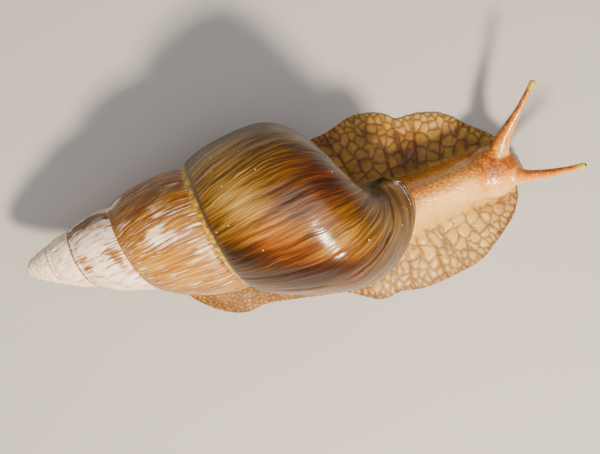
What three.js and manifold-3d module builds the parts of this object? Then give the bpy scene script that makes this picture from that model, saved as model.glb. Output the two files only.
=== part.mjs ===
// Giant African land snail, crawling with its head and tentacles out: a still, life-size model.
// Millimetres, +Z up, the head towards +X, the animal's left side towards +Y, the sole on z = 0.
//
// The shell is one long helico-spiral, right-handed, parted along its suture into whorls.
// The soft body is a foot with two wide side lobes and a tail, a neck, a head and its tentacles.
// It is shaped whole, cut back by the shell that sits on it, and parted with thin cuts.

import * as THREE from 'three';
import { mergeVertices } from 'three/addons/utils/BufferGeometryUtils.js';
import Module from 'manifold-3d';

const wasm = await Module();
wasm.setup();

// ---------------------------------------------------------------- driving dimensions

const GAP = 0.3;                  // clearance between neighbouring pieces
const CUT = 0.3;                  // width of the thin cuts that part the soft body
const DEG = Math.PI / 180;
const TURN = 2 * Math.PI;

// The shell's axis runs from the apex to the base of the columella.
const APEX = new THREE.Vector3(-109.68, -17.46, 26);
const AXIS_HEADING = 13.93 * DEG; // towards the animal's left, seen from above
const AXIS_RISE = 9 * DEG;        // the base end is the higher one
const LIP_ANGLE = 219.74 * DEG;   // where the spiral stops: below the axis, on the right side

// Outline of the last whorl at the lip: distance along the axis from the apex, and from the axis.
const SUTURE_POINT = new THREE.Vector2(90.71, 27.28);
const PERIPHERY = new THREE.Vector2(131.56, 38.8);
const COLUMELLA_END = new THREE.Vector2(153.85, 2.2);
const SHOULDER_SLOPE = 50.2 * DEG;
const SHOULDER_PULL = 9.39;
const FLANK_PULL_BACK = 10.28;
const FLANK_PULL_FRONT = 17.42;
const BASE_SLOPE = 61.5 * DEG;
const BASE_PULL = 19.69;

// How the outline shrinks per radian back along the spiral, with a slower start near the lip.
const SHRINK_ALONG = 0.0984;
const SHRINK_OUT = 0.0623;
const ADULT_ALONG = 0.1775;
const ADULT_OUT = 0.1053;
const ADULT_SPAN = 2.422;
const SPIRE_TURNS = 6.4;          // whorls from the lip to the apex
const WHORL_BULGE = 0.078;        // swelling of a young whorl's flank, by its height
const OLD_WHORL_BULGE = 0.062;    // the same on the worn top of the spire

const WHORL_STEPS = 30;           // steps round one whorl
const STRIP_ROWS = 8;             // rows from suture to suture
const BASE_ROWS = 7;              // rows from the suture line on to the columella
const APEX_ROWS = 4;
const SEAM_PARAMETER = 0.18;      // where the next suture meets the flank's curve
const CORE_SHARE = 0.14;          // hollow core inside the spire, as a share of the suture's radius
const SET_BACK = [0, 0.12, 0.3, 0.5]; // how far each older piece stands back along the axis
const COLUMELLA_CUT = 5;          // how far the columella's end slants back behind the lip
const COLUMELLA_CUT_STEPS = 7;

const LIP_BACK = 5 * DEG;         // the lip band's width round the spiral
const LIP_WALL = 1.7;
const MANTLE_OUT = 11 * DEG;      // how far the mantle swells out of the aperture
const MANTLE_INNER_SIDE = [new THREE.Vector2(148, 4), new THREE.Vector2(103, 6)];

// The body's own frame: t runs forward from the tip of the tail, n towards the left side.
const TAIL_TIP = new THREE.Vector2(-49.2, -26.1);
const BODY_HEADING = 20 * DEG;
const MARGIN_HEIGHT = 1.6;        // thickness of the foot's thin edge
const MARGIN_INSET = 0.7;
const LOBE_RISE = 6.4;            // height of a lobe where it meets the neck

// Edges of the foot as [t, n], with the notches and waves of the crawling margin.
const RIGHT_MARGIN = [
  [0, 0], [2, -4.4], [5.7, -8.8], [10.8, -13.3], [16.6, -16.8], [22.7, -18.6], [30.6, -18],
  [39.4, -19.6], [54, -22.8], [65, -25.6], [74.8, -31.9], [80, -33.2], [86, -32.6], [95.4, -34.5],
  [109, -33.9], [122.4, -31.6], [131.4, -26.4], [140.6, -19.5], [144.4, -14.9], [147, -8.9], [148, 0],
];
const LEFT_MARGIN = [
  [0, 0], [2, 4.6], [6, 9.5], [14, 15.5], [26, 21.5], [38, 27], [50, 33], [62, 38], [72, 41],
  [77, 41.2], [84, 42.8], [91, 44.5], [97, 43.7], [104.4, 40.8], [109.2, 36.9], [114, 36.6],
  [120, 35.7], [126, 33.5], [131, 30], [135, 25.8], [140.5, 20.8], [144.6, 16.6], [147, 10.5], [148, 0],
];

// The back and neck as a ridge along the foot: [t, n of its crest, half width, height].
const RIDGE = [
  [0, 0, 2, 1.5], [8, 0, 6, 5], [20, 0.5, 10, 9], [36, 2, 15, 14], [52, 3, 19, 24], [66, 2.5, 19, 34],
  [80, 1.5, 16.5, 37], [92, 1.2, 13, 34], [102, 1.6, 11.6, 29], [114, 2, 10.9, 26], [126, 2.5, 10.8, 24],
  [136, 2.8, 10.5, 21.5], [142, 3, 8, 14], [146, 2, 4, 5], [148, 0, 1.5, 1.4],
];
const STATIONS = [
  0.6, 2.6, 6, 10.8, 16.6, 22.7, 30.6, 39, 47, 55, 63, 71, 77, 83, 88.5, 94, 99.5, 104.6, 109.2, 114,
  119, 124, 128.5, 132.5, 136, 139.5, 142.5, 144.8, 146.6, 147.7,
];

// The head, a blunt rounded muzzle over the front of the foot.
const HEAD_CENTRE = [136.5, 2.2, 14.6];
const HEAD_RADII = [12, 11.2, 9.6];
const MOUTH_CENTRE = [147.2, 2, 9.2];
const MOUTH_RADII = [3.1, 4.4, 3.2];

// Tentacles as [t, n, z, radius] along their length; the eye is the dark bead at the tip.
const LEFT_TENTACLE = [
  [139.8, 7.4, 18.6, 4.5], [141.7, 10.2, 21.2, 3.9], [144, 13.9, 24.3, 2.8], [146.5, 16.4, 26.5, 2.3],
  [151.3, 21, 30.3, 1.4], [154.7, 24.6, 33.2, 1.2], [157.6, 27.8, 36, 1.25], [158.9, 29.2, 37.1, 1.35],
];
const RIGHT_TENTACLE = [
  [142.6, -1.6, 17.2, 4.4], [146, -3.4, 20.2, 3.3], [148.2, -4.3, 22.4, 2.35], [151, -4.95, 24.6, 1.85],
  [155.2, -5.9, 27.6, 1.45], [161.5, -6.95, 32.3, 1], [165, -7.35, 35.1, 1.05], [166.95, -7.55, 36.5, 1.15],
];
const EYE_RADIUS = 0.65;
const TENTACLE_SIDES = 10;
const TENTACLE_STEPS = 11;
const LOWER_TENTACLE_STEPS = 4;
const TENTACLE_CUTS = [0.34, 0.68];
const LOWER_TENTACLES = {
  left: [
    [142.4, 6.4, 8.4, 1.9], [144.4, 8.6, 7.8, 1.35], [146.2, 10.6, 7.3, 1.1], [147, 11.5, 7.2, 1.15],
  ],
  right: [
    [143.8, -2.6, 8.4, 1.9], [146.2, -3.6, 7.8, 1.35], [148.8, -4.4, 7.3, 1.1], [150, -4.8, 7.2, 1.15],
  ],
};

// Where the soft body is parted, as t along the foot, and how thick the creeping sole is.
const TAIL_CUTS = [20, 44];
const LOBE_START = 74;
const LOBE_CUT = 110;
const FOOT_FRONT_CUT = 129;
const NECK_CUTS = [96, 113, 129];
const SOLE_TOP = 5;
const NECK_SIDE = 12.6;           // side cuts between neck and lobes, from the crest line
const CREST_N = 2;

// ---------------------------------------------------------------- materials

function finish(color, roughness) {
  return new THREE.MeshStandardMaterial({ color, roughness, metalness: 0 });
}

const materials = {
  bodyWhorl: finish('#6b4c22', 0.3),
  penultimate: finish('#8c5f2e', 0.45),
  spire: finish('#b08a6c', 0.6),
  apex: finish('#c9ab98', 0.65),
  lip: finish('#7a5a2e', 0.35),
  mantle: finish('#8a6a48', 0.5),
  neck: finish('#b5804a', 0.5),
  head: finish('#b0733c', 0.5),
  lobe: finish('#b99a70', 0.55),
  sole: finish('#a58a66', 0.55),
  tail: finish('#a8713a', 0.55),
  tentacle: finish('#c08a4e', 0.5),
  eye: finish('#1c1510', 0.15),
};

// ---------------------------------------------------------------- solids

// A skin under construction: a list of points, and triangles that index them.
function newSkin() {
  return { points: [], triangles: [] };
}

function addPoint(skin, point) {
  skin.points.push(point);
  return skin.points.length - 1;
}

function addQuad(skin, a, b, c, d) {
  skin.triangles.push([a, b, c], [a, c, d]);
}

// Fills a flat loop of points, given its drawing in the plane, and keeps the loop's own sense.
function addFace(skin, loop, drawing) {
  const sense = THREE.ShapeUtils.area(drawing) > 0;
  for (const [a, b, c] of THREE.ShapeUtils.triangulateShape(drawing, [])) {
    const turned = THREE.ShapeUtils.area([drawing[a], drawing[b], drawing[c]]) > 0;
    if (turned === sense) skin.triangles.push([loop[a], loop[b], loop[c]]);
    else skin.triangles.push([loop[a], loop[c], loop[b]]);
  }
}

function volumeOf(skin) {
  let sum = 0;
  for (const [a, b, c] of skin.triangles) {
    const cross = new THREE.Vector3().crossVectors(skin.points[b], skin.points[c]);
    sum += skin.points[a].dot(cross) / 6;
  }
  return sum;
}

// Turns a closed skin into a solid with its faces pointing out.
function solidOf(skin) {
  const inward = volumeOf(skin) < 0;
  const faces = skin.triangles.map(([a, b, c]) => (inward ? [a, c, b] : [a, b, c]));
  const vertProperties = new Float32Array(skin.points.flatMap((p) => [p.x, p.y, p.z]));
  const triVerts = new Uint32Array(faces.flat());
  return new wasm.Manifold(new wasm.Mesh({ numProp: 3, vertProperties, triVerts }));
}

function solidOfGeometry(geometry) {
  geometry.deleteAttribute('normal');
  geometry.deleteAttribute('uv');
  const merged = mergeVertices(geometry, 1e-4);
  const vertProperties = new Float32Array(merged.attributes.position.array);
  const triVerts = new Uint32Array(merged.index.array);
  return new wasm.Manifold(new wasm.Mesh({ numProp: 3, vertProperties, triVerts }));
}

// The same solid, swollen by a small distance: what is cut by it keeps that clearance.
function swollen(solid, distance) {
  const mesh = solid.getMesh();
  const points = mesh.vertProperties;
  const normals = new Float32Array(points.length);
  const [a, b, c] = [new THREE.Vector3(), new THREE.Vector3(), new THREE.Vector3()];
  for (let i = 0; i < mesh.triVerts.length; i += 3) {
    const corners = [mesh.triVerts[i], mesh.triVerts[i + 1], mesh.triVerts[i + 2]];
    [a, b, c].forEach((v, k) => v.fromArray(points, 3 * corners[k]));
    const normal = b.clone().sub(a).cross(c.clone().sub(a));
    for (const corner of corners) {
      normals[3 * corner] += normal.x;
      normals[3 * corner + 1] += normal.y;
      normals[3 * corner + 2] += normal.z;
    }
  }
  const moved = new Float32Array(points.length);
  for (let i = 0; i < points.length; i += 3) {
    a.fromArray(normals, i).normalize();
    b.fromArray(points, i).addScaledVector(a, distance).toArray(moved, i);
  }
  return new wasm.Manifold(new wasm.Mesh({ numProp: 3, vertProperties: moved, triVerts: mesh.triVerts }));
}

function largestPart(solid) {
  const parts = solid.decompose();
  return parts.reduce((best, part) => (part.volume() > best.volume() ? part : best));
}

// ---------------------------------------------------------------- the shell's spiral

const axisWay = new THREE.Vector3(
  Math.cos(AXIS_RISE) * Math.cos(AXIS_HEADING),
  Math.cos(AXIS_RISE) * Math.sin(AXIS_HEADING),
  Math.sin(AXIS_RISE),
);
const axisLeft = new THREE.Vector3(-Math.sin(AXIS_HEADING), Math.cos(AXIS_HEADING), 0);
const axisUp = new THREE.Vector3().crossVectors(axisWay, axisLeft);

// A point beside the axis, "back" radians behind the lip.
function besideAxis(along, out, back) {
  const angle = LIP_ANGLE - back;
  return APEX.clone()
    .addScaledVector(axisWay, along)
    .addScaledVector(axisLeft, out * Math.cos(angle))
    .addScaledVector(axisUp, out * Math.sin(angle));
}

function growth(back) {
  const adult = 1 - Math.exp(-Math.max(back, -1.5) / ADULT_SPAN);
  return new THREE.Vector2(
    Math.exp(-(SHRINK_ALONG * back - ADULT_ALONG * adult)),
    Math.exp(-(SHRINK_OUT * back - ADULT_OUT * adult)),
  );
}

function sutureAt(back) {
  return SUTURE_POINT.clone().multiply(growth(back));
}

// The last whorl's outline at the lip, as rows from the suture to the columella.
function lipOutline(stripRows, baseRows) {
  const shoulder = new THREE.Vector2(Math.cos(SHOULDER_SLOPE), Math.sin(SHOULDER_SLOPE));
  const base = new THREE.Vector2(Math.cos(BASE_SLOPE), Math.sin(BASE_SLOPE));
  const rear = new THREE.CubicBezierCurve(
    SUTURE_POINT,
    SUTURE_POINT.clone().addScaledVector(shoulder, SHOULDER_PULL),
    PERIPHERY.clone().sub(new THREE.Vector2(FLANK_PULL_BACK, 0)),
    PERIPHERY,
  );
  const front = new THREE.CubicBezierCurve(
    PERIPHERY,
    PERIPHERY.clone().add(new THREE.Vector2(FLANK_PULL_FRONT, 0)),
    COLUMELLA_END.clone().addScaledVector(base, BASE_PULL),
    COLUMELLA_END,
  );
  const rows = rear.getPoints(stripRows - 2);
  rows.push(front.getPoint(SEAM_PARAMETER / 2), front.getPoint(SEAM_PARAMETER));
  for (let i = 1; i <= baseRows; i += 1) {
    rows.push(front.getPoint(SEAM_PARAMETER + (1 - SEAM_PARAMETER) * (i / baseRows)));
  }
  return rows;
}

// How far each row lies along a run of rows, from 0 to 1.
function fractions(rows) {
  const lengths = [0];
  for (let i = 1; i < rows.length; i += 1) {
    lengths.push(lengths[i - 1] + rows[i].distanceTo(rows[i - 1]));
  }
  return lengths.map((length) => length / lengths[rows.length - 1]);
}

function smoothly(value) {
  return THREE.MathUtils.smoothstep(value, 0, 1);
}

// One growth line: the outline "back" radians behind the lip, as [along, out] rows.
// Up to the seam row it runs from suture to suture; the rows past it close on the columella.
function growthLine(back, stripRows, baseRows) {
  const outline = lipOutline(stripRows, baseRows);
  const strip = fractions(outline.slice(0, stripRows + 1));
  const base = fractions(outline.slice(stripRows));
  const scale = growth(back);
  const rows = outline.map((point) => point.clone().multiply(scale));
  const seam = sutureAt(back - TURN);
  const pull = smoothly((back - 0.7 * TURN) / (0.3 * TURN));
  const shift = seam.clone().sub(rows[stripRows]).multiplyScalar(pull);
  rows.forEach((row, i) => {
    const share = i <= stripRows ? strip[i] ** 2 : (1 - base[i - stripRows]) ** 2;
    row.addScaledVector(shift, share);
  });
  const start = rows[0].clone();
  const chord = seam.clone().sub(start);
  const outward = new THREE.Vector2(-chord.y, chord.x);
  const worn = smoothly((back / TURN - 1.5) / 0.9);
  const bulge = THREE.MathUtils.lerp(WHORL_BULGE, OLD_WHORL_BULGE, worn);
  const spireShape = smoothly((back - TURN) / (0.7 * TURN));
  for (let i = 0; i <= stripRows; i += 1) {
    const swell = bulge * (1 - Math.abs(2 * strip[i] - 1) ** 2.6);
    const spire = start.clone().addScaledVector(chord, strip[i]).addScaledVector(outward, swell);
    rows[i].lerp(spire, spireShape);
  }
  return rows;
}

// ---------------------------------------------------------------- whorls

// The spiral is parted along the suture. Each whorl of the spire is a ring round a narrow hollow
// core; the body whorl and the apex close on the axis. Every start stands one gap off its neighbour.

function placed(row, back, atStart) {
  const point = besideAxis(row.x, row.y, back);
  const rearward = besideAxis(0, 1, back + TURN / 4).sub(APEX);
  return atStart ? point.addScaledVector(rearward, GAP) : point;
}

function addRow(skin, row, back, atStart) {
  return { row, index: addPoint(skin, placed(row, back, atStart)) };
}

function moveRowsInwards(rows, index, towards, distance) {
  const length = rows[index].distanceTo(rows[towards]);
  rows[index].lerp(rows[towards], distance / length);
}

function backsFrom(whorl, steps, count) {
  const backs = [];
  for (let j = 0; j <= count; j += 1) {
    backs.push(LIP_BACK + whorl * TURN + (TURN * j) / steps);
  }
  return backs;
}

// Lays the growth lines of a stretch of whorl as a grid of points.
function growthGrid(skin, backs, stripRows, baseRows, young) {
  return backs.map((back, j) => {
    const rows = growthLine(back, stripRows, baseRows).slice(0, stripRows + baseRows + 1);
    if (young) moveRowsInwards(rows, stripRows, stripRows - 1, GAP);
    return rows.map((row) => addRow(skin, row, back, young && j === 0));
  });
}

// A line inside the shell that follows the suture: set back along the axis, at a share of its radius.
// The steps in "starts" stand off the neighbouring whorl.
function sutureLine(skin, backs, setBack, share, starts) {
  return backs.map((back, j) => {
    const suture = sutureAt(back);
    const row = new THREE.Vector2(suture.x - setBack, share * suture.y);
    return addRow(skin, row, back, starts.includes(j));
  });
}

function skinGrid(skin, grid) {
  for (let j = 0; j + 1 < grid.length; j += 1) {
    for (let i = 0; i + 1 < grid[j].length; i += 1) {
      addQuad(skin, grid[j][i].index, grid[j + 1][i].index, grid[j + 1][i + 1].index, grid[j][i + 1].index);
    }
  }
}

// The wall between two lines that run back along the spiral; its cells all split the same way.
function skinWall(skin, outer, inner, facingBase) {
  for (let j = 0; j + 1 < outer.length; j += 1) {
    const [a, b, c, d] = [inner[j].index, outer[j].index, outer[j + 1].index, inner[j + 1].index];
    if (facingBase) addQuad(skin, a, b, c, d);
    else addQuad(skin, a, d, c, b);
  }
}

function loopOf(entries) {
  return [entries.map((entry) => entry.index), entries.map((entry) => entry.row)];
}

function column(grid, i) {
  return grid.map((line) => line[i]);
}

function backwards(list) {
  return [...list].reverse();
}

// The body whorl: its flank, its base down to the columella, the step where the next whorl
// starts, and the flat aperture behind the lip.
function bodyWhorl() {
  const skin = newSkin();
  const backs = backsFrom(0, WHORL_STEPS, WHORL_STEPS);
  const grid = growthGrid(skin, backs, STRIP_ROWS, BASE_ROWS, false);
  const lastRow = STRIP_ROWS + BASE_ROWS;
  const last = grid[WHORL_STEPS];
  [last[STRIP_ROWS]] = grid[0];
  const core = sutureLine(skin, backs, 0, CORE_SHARE, []);
  const axis = sutureLine(skin, backs, 0, 0, []);
  const columella = grid.map((line, j) => {
    const cut = COLUMELLA_CUT * Math.max(0, 1 - j / COLUMELLA_CUT_STEPS);
    return addRow(skin, new THREE.Vector2(line[lastRow].row.x - cut, 0), backs[j], false);
  });
  skinGrid(skin, grid);
  skinWall(skin, column(grid, 0), core, false);
  skinWall(skin, core, axis, false);
  skinWall(skin, column(grid, lastRow), columella, true);
  const flank = backwards(last.slice(0, STRIP_ROWS + 1));
  addFace(skin, ...loopOf([...flank, core[WHORL_STEPS], ...backwards(axis), core[0]]));
  addFace(skin, ...loopOf([...grid[0], ...columella, ...backwards(last.slice(STRIP_ROWS + 1))]));
  return solidOf(skin);
}

// A whole turn of the spire, between its own suture and the next whorl's.
function spireWhorl(whorl) {
  const skin = newSkin();
  const backs = backsFrom(whorl, WHORL_STEPS, WHORL_STEPS);
  const youngerBacks = backs.map((back) => back - TURN);
  const grid = growthGrid(skin, backs, STRIP_ROWS, 0, true);
  const top = sutureLine(skin, backs, 0, CORE_SHARE, [0]);
  const bottom = sutureLine(skin, youngerBacks, 1.2 * GAP, CORE_SHARE, [0]);
  skinGrid(skin, grid);
  skinWall(skin, column(grid, 0), top, false);
  skinWall(skin, column(grid, STRIP_ROWS), bottom, true);
  skinWall(skin, top, bottom, false);
  addFace(skin, ...loopOf([...grid[0], bottom[0], top[0]]));
  addFace(skin, ...loopOf([...backwards(grid[WHORL_STEPS]), top[WHORL_STEPS], bottom[WHORL_STEPS]]));
  return solidOf(skin);
}

// The small whorls at the top of the spire, in one piece up to the blunt apex.
function apexWhorls(whorl) {
  const skin = newSkin();
  const count = Math.round((SPIRE_TURNS - whorl) * WHORL_STEPS);
  const backs = backsFrom(whorl, WHORL_STEPS, count);
  const youngerBacks = backs.slice(0, WHORL_STEPS + 1).map((back) => back - TURN);
  const grid = growthGrid(skin, backs, APEX_ROWS, 0, true);
  for (let j = WHORL_STEPS; j <= count; j += 1) {
    [grid[j][APEX_ROWS]] = grid[j - WHORL_STEPS];
  }
  const core = sutureLine(skin, youngerBacks, 1.2 * GAP, CORE_SHARE, [0, WHORL_STEPS]);
  const axis = sutureLine(skin, youngerBacks, 1.2 * GAP, 0, []);
  skinGrid(skin, grid);
  skinWall(skin, column(grid.slice(0, WHORL_STEPS + 1), APEX_ROWS), core, true);
  skinWall(skin, core, axis, true);
  addFace(skin, ...loopOf([...grid[0], core[0], ...axis, core[WHORL_STEPS]]));
  const tip = addPoint(skin, besideAxis(sutureAt(backs[count]).x * 0.35, 0, 0));
  const rim = [...column(grid.slice(count - WHORL_STEPS), 0), ...grid[count].slice(1)];
  for (let k = 0; k + 1 < rim.length; k += 1) {
    skin.triangles.push([rim[k + 1].index, rim[k].index, tip]);
  }
  return solidOf(skin);
}

// ---------------------------------------------------------------- lip and mantle

// Rows moved in from the outline by a wall's thickness, along the outline's own normals.
function insetRows(rows, wall) {
  return rows.map((row, i) => {
    const before = rows[Math.max(i - 1, 0)];
    const after = rows[Math.min(i + 1, rows.length - 1)];
    const way = after.clone().sub(before).normalize();
    return row.clone().add(new THREE.Vector2(way.y, -way.x).multiplyScalar(wall));
  });
}

// The outer lip: a thin band round the aperture, with a rounded edge.
function lipBand() {
  const skin = newSkin();
  const lastRow = STRIP_ROWS + BASE_ROWS - 1;
  const gapBack = GAP / PERIPHERY.y;
  const ring = [
    { back: LIP_BACK - gapBack, wall: LIP_WALL },
    { back: 0.3 * LIP_BACK, wall: 0.8 * LIP_WALL },
    { back: 0, wall: 0.6 * LIP_WALL },
    { back: 0, wall: 0.2 * LIP_WALL },
    { back: 0.25 * LIP_BACK, wall: 0 },
    { back: LIP_BACK - gapBack, wall: 0 },
  ];
  const lines = ring.map(({ back, wall }) => {
    const rows = insetRows(growthLine(back, STRIP_ROWS, BASE_ROWS), wall).slice(0, lastRow + 1);
    return rows.map((row) => addPoint(skin, besideAxis(row.x, row.y, back)));
  });
  for (let j = 0; j < ring.length; j += 1) {
    const next = lines[(j + 1) % ring.length];
    for (let i = 0; i < lastRow; i += 1) {
      addQuad(skin, lines[j][i], next[i], next[i + 1], lines[j][i + 1]);
    }
  }
  for (let j = 1; j + 1 < ring.length; j += 1) {
    skin.triangles.push([lines[0][0], lines[j + 1][0], lines[j][0]]);
    skin.triangles.push([lines[0][lastRow], lines[j][lastRow], lines[j + 1][lastRow]]);
  }
  return solidOf(skin);
}

// The mantle collar: the soft pad that fills the aperture inside the lip and swells out of it.
function mantlePad() {
  const skin = newSkin();
  const outOfAperture = besideAxis(0, 1, LIP_BACK - TURN / 4).sub(APEX).multiplyScalar(1.2 * GAP);
  const centre = new THREE.Vector2(123, 17);
  const layers = [
    { back: LIP_BACK, size: 1 },
    { back: -0.35 * MANTLE_OUT, size: 1 },
    { back: -0.75 * MANTLE_OUT, size: 0.9 },
    { back: -MANTLE_OUT, size: 0.72 },
  ];
  const lines = layers.map(({ back, size }) => {
    const lip = insetRows(growthLine(Math.max(back, 0), STRIP_ROWS, BASE_ROWS), LIP_WALL + 1.6 * GAP);
    const rows = [...lip.filter((row) => row.x > 97 && row.y > 4), ...MANTLE_INNER_SIDE];
    return rows.map((row) => {
      const sized = row.clone().sub(centre).multiplyScalar(size).add(centre);
      return addPoint(skin, besideAxis(sized.x, Math.max(sized.y, 1), back).add(outOfAperture));
    });
  });
  const count = lines[0].length;
  for (let j = 0; j + 1 < lines.length; j += 1) {
    for (let i = 0; i < count; i += 1) {
      const k = (i + 1) % count;
      addQuad(skin, lines[j][i], lines[j + 1][i], lines[j + 1][k], lines[j][k]);
    }
  }
  const backCap = addPoint(skin, besideAxis(centre.x, centre.y, layers[0].back).add(outOfAperture));
  const frontCap = addPoint(skin, besideAxis(centre.x, centre.y, layers[3].back - 0.06));
  for (let i = 0; i < count; i += 1) {
    const k = (i + 1) % count;
    skin.triangles.push([lines[0][k], backCap, lines[0][i]]);
    skin.triangles.push([lines[3][i], frontCap, lines[3][k]]);
  }
  return solidOf(skin);
}

// ---------------------------------------------------------------- the soft body

function fromBody(t, n, z) {
  return new THREE.Vector3(
    TAIL_TIP.x + t * Math.cos(BODY_HEADING) - n * Math.sin(BODY_HEADING),
    TAIL_TIP.y + t * Math.sin(BODY_HEADING) + n * Math.cos(BODY_HEADING),
    z,
  );
}

// Reads a smooth curve through rows [t, value, ...] at one t.
function readAt(rows, t, column) {
  const last = rows.length - 1;
  let i = 0;
  while (i < last - 1 && rows[i + 1][0] < t) i += 1;
  const span = rows[i + 1][0] - rows[i][0];
  const u = THREE.MathUtils.clamp((t - rows[i][0]) / span, 0, 1);
  const slope = (k) => {
    const [before, after] = [rows[Math.max(k - 1, 0)], rows[Math.min(k + 1, last)]];
    return (after[column] - before[column]) / (after[0] - before[0]);
  };
  const [a, b] = [rows[i][column], rows[i + 1][column]];
  const cubic = (2 * u ** 3 - 3 * u ** 2 + 1) * a + (3 * u ** 2 - 2 * u ** 3) * b;
  return cubic + (u ** 3 - 2 * u ** 2 + u) * span * slope(i) + (u ** 3 - u ** 2) * span * slope(i + 1);
}

// Height of the soft body over the floor: the lobes rise gently, the ridge stands on them.
function bodyHeight(t, n, left, right) {
  const crest = readAt(RIDGE, t, 1);
  const halfWidth = readAt(RIDGE, t, 2);
  const ridgeTop = readAt(RIDGE, t, 3);
  const margin = n > crest ? left : right;
  const inwards = THREE.MathUtils.clamp((margin - n) / (margin - crest), 0, 1);
  const lobeTop = Math.min(LOBE_RISE, ridgeTop);
  const rise = Math.sin(inwards * Math.PI / 2) ** 1.2;
  const lobe = MARGIN_HEIGHT + Math.max(lobeTop - MARGIN_HEIGHT, 0) * rise;
  const across = Math.min(Math.abs(n - crest) / halfWidth, 1);
  const ridge = ridgeTop * (1 - across ** 2.4) ** 0.6;
  return (lobe ** 4 + ridge ** 4) ** 0.25;
}

const LOBE_SHARES = [0, 0.05, 0.22, 0.5, 0.8];
const RIDGE_SHARES = [-1, -0.92, -0.72, -0.38, 0, 0.38, 0.72, 0.92, 1];

// One section of foot and neck: the arched top from margin to margin, then the flat sole.
function bodySection(t) {
  const left = readAt(LEFT_MARGIN, t, 1);
  const right = readAt(RIGHT_MARGIN, t, 1);
  const crest = readAt(RIDGE, t, 1);
  const reach = Math.min(readAt(RIDGE, t, 2), 0.8 * (left - crest), 0.8 * (crest - right));
  const across = [
    ...LOBE_SHARES.map((share) => THREE.MathUtils.lerp(right, crest - reach, share)),
    ...RIDGE_SHARES.map((share) => crest + share * reach),
    ...[...LOBE_SHARES].reverse().map((share) => THREE.MathUtils.lerp(left, crest + reach, share)),
  ];
  const edge = Math.min(MARGIN_INSET, 0.3 * (left - right));
  const top = across.map((n) => {
    const atEdge = n === left || n === right;
    return fromBody(t, n, atEdge ? 0.5 * MARGIN_HEIGHT : bodyHeight(t, n, left, right));
  });
  return [...top, fromBody(t, left - edge, 0), fromBody(t, right + edge, 0)];
}

// Joins rings of points into one closed loft with fanned ends.
function loft(rings) {
  const skin = newSkin();
  const lines = rings.map((ring) => ring.map((point) => addPoint(skin, point)));
  const count = lines[0].length;
  for (let j = 0; j + 1 < lines.length; j += 1) {
    for (let i = 0; i < count; i += 1) {
      const k = (i + 1) % count;
      addQuad(skin, lines[j][i], lines[j + 1][i], lines[j + 1][k], lines[j][k]);
    }
  }
  const ends = [rings[0], rings[rings.length - 1]].map((ring) => {
    const sum = ring.reduce((total, point) => total.add(point), new THREE.Vector3());
    return addPoint(skin, sum.divideScalar(ring.length));
  });
  for (let i = 0; i < count; i += 1) {
    const k = (i + 1) % count;
    skin.triangles.push([lines[0][k], ends[0], lines[0][i]]);
    skin.triangles.push([lines[lines.length - 1][i], ends[1], lines[lines.length - 1][k]]);
  }
  return solidOf(skin);
}

function ellipsoid(centre, radii, segments, rings) {
  const ball = new THREE.SphereGeometry(1, segments, rings);
  ball.scale(...radii);
  ball.rotateZ(BODY_HEADING);
  const place = fromBody(...centre);
  ball.translate(place.x, place.y, place.z);
  return solidOfGeometry(ball);
}

// A tapering tube through rows [t, n, z, radius], closed by a small dome at its tip.
function feeler(rows, steps) {
  const path = new THREE.CatmullRomCurve3(rows.map(([t, n, z]) => fromBody(t, n, z)));
  const radii = rows.map((row, i) => [i / (rows.length - 1), row[3]]);
  const frames = path.computeFrenetFrames(steps, false);
  const rings = [];
  for (let j = 0; j <= steps; j += 1) {
    const radius = readAt(radii, j / steps, 1);
    rings.push(feelerRing(path.getPoint(j / steps), frames.normals[j], frames.binormals[j], radius));
  }
  const endRadius = rows[rows.length - 1][3];
  const tip = path.getPoint(1).addScaledVector(frames.tangents[steps], 0.7 * endRadius);
  rings.push(feelerRing(tip, frames.normals[steps], frames.binormals[steps], 0.6 * endRadius));
  return loft(rings);
}

function feelerRing(centre, across, over, radius) {
  const ring = [];
  for (let i = 0; i < TENTACLE_SIDES; i += 1) {
    const angle = (TURN * i) / TENTACLE_SIDES;
    ring.push(centre.clone()
      .addScaledVector(across, radius * Math.cos(angle))
      .addScaledVector(over, radius * Math.sin(angle)));
  }
  return ring;
}

// ---------------------------------------------------------------- parting

const BIG = 400;

// All of space on one side of a plane, as a large block.
function sideOf(point, way, setBack) {
  const block = new THREE.BoxGeometry(BIG, BIG, BIG);
  block.applyQuaternion(new THREE.Quaternion().setFromUnitVectors(new THREE.Vector3(0, 0, 1), way));
  const centre = point.clone().addScaledVector(way, BIG / 2 + setBack);
  block.translate(centre.x, centre.y, centre.z);
  return solidOfGeometry(block);
}

// Cuts a solid in two along a plane, with a thin kerf: [the part ahead of it, the part behind].
function part(solid, point, way) {
  const ahead = solid.intersect(sideOf(point, way, CUT / 2));
  const behind = solid.subtract(sideOf(point, way, -CUT / 2));
  return [ahead, behind];
}

const forward = fromBody(1, 0, 0).sub(fromBody(0, 0, 0));
const leftward = fromBody(0, 1, 0).sub(fromBody(0, 0, 0));
const upward = new THREE.Vector3(0, 0, 1);

function partAcross(solid, t) {
  return part(solid, fromBody(t, 0, 0), forward);
}

// ---------------------------------------------------------------- assembly

const pieces = [];

function keep(name, solid, material) {
  pieces.push({ name, solid: largestPart(solid), material });
}

const whorls = [bodyWhorl(), spireWhorl(1), spireWhorl(2), apexWhorls(3)].map((solid, i) => {
  const shift = axisWay.clone().multiplyScalar(-SET_BACK[i]);
  return solid.translate(shift.x, shift.y, shift.z);
});
const lip = lipBand().subtract(swollen(whorls[0], 2 * GAP));
const shellRoom = [...whorls, lip].map((solid) => swollen(solid, 1.5 * GAP));
const mantle = shellRoom.reduce((solid, room) => solid.subtract(room), mantlePad());

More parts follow.
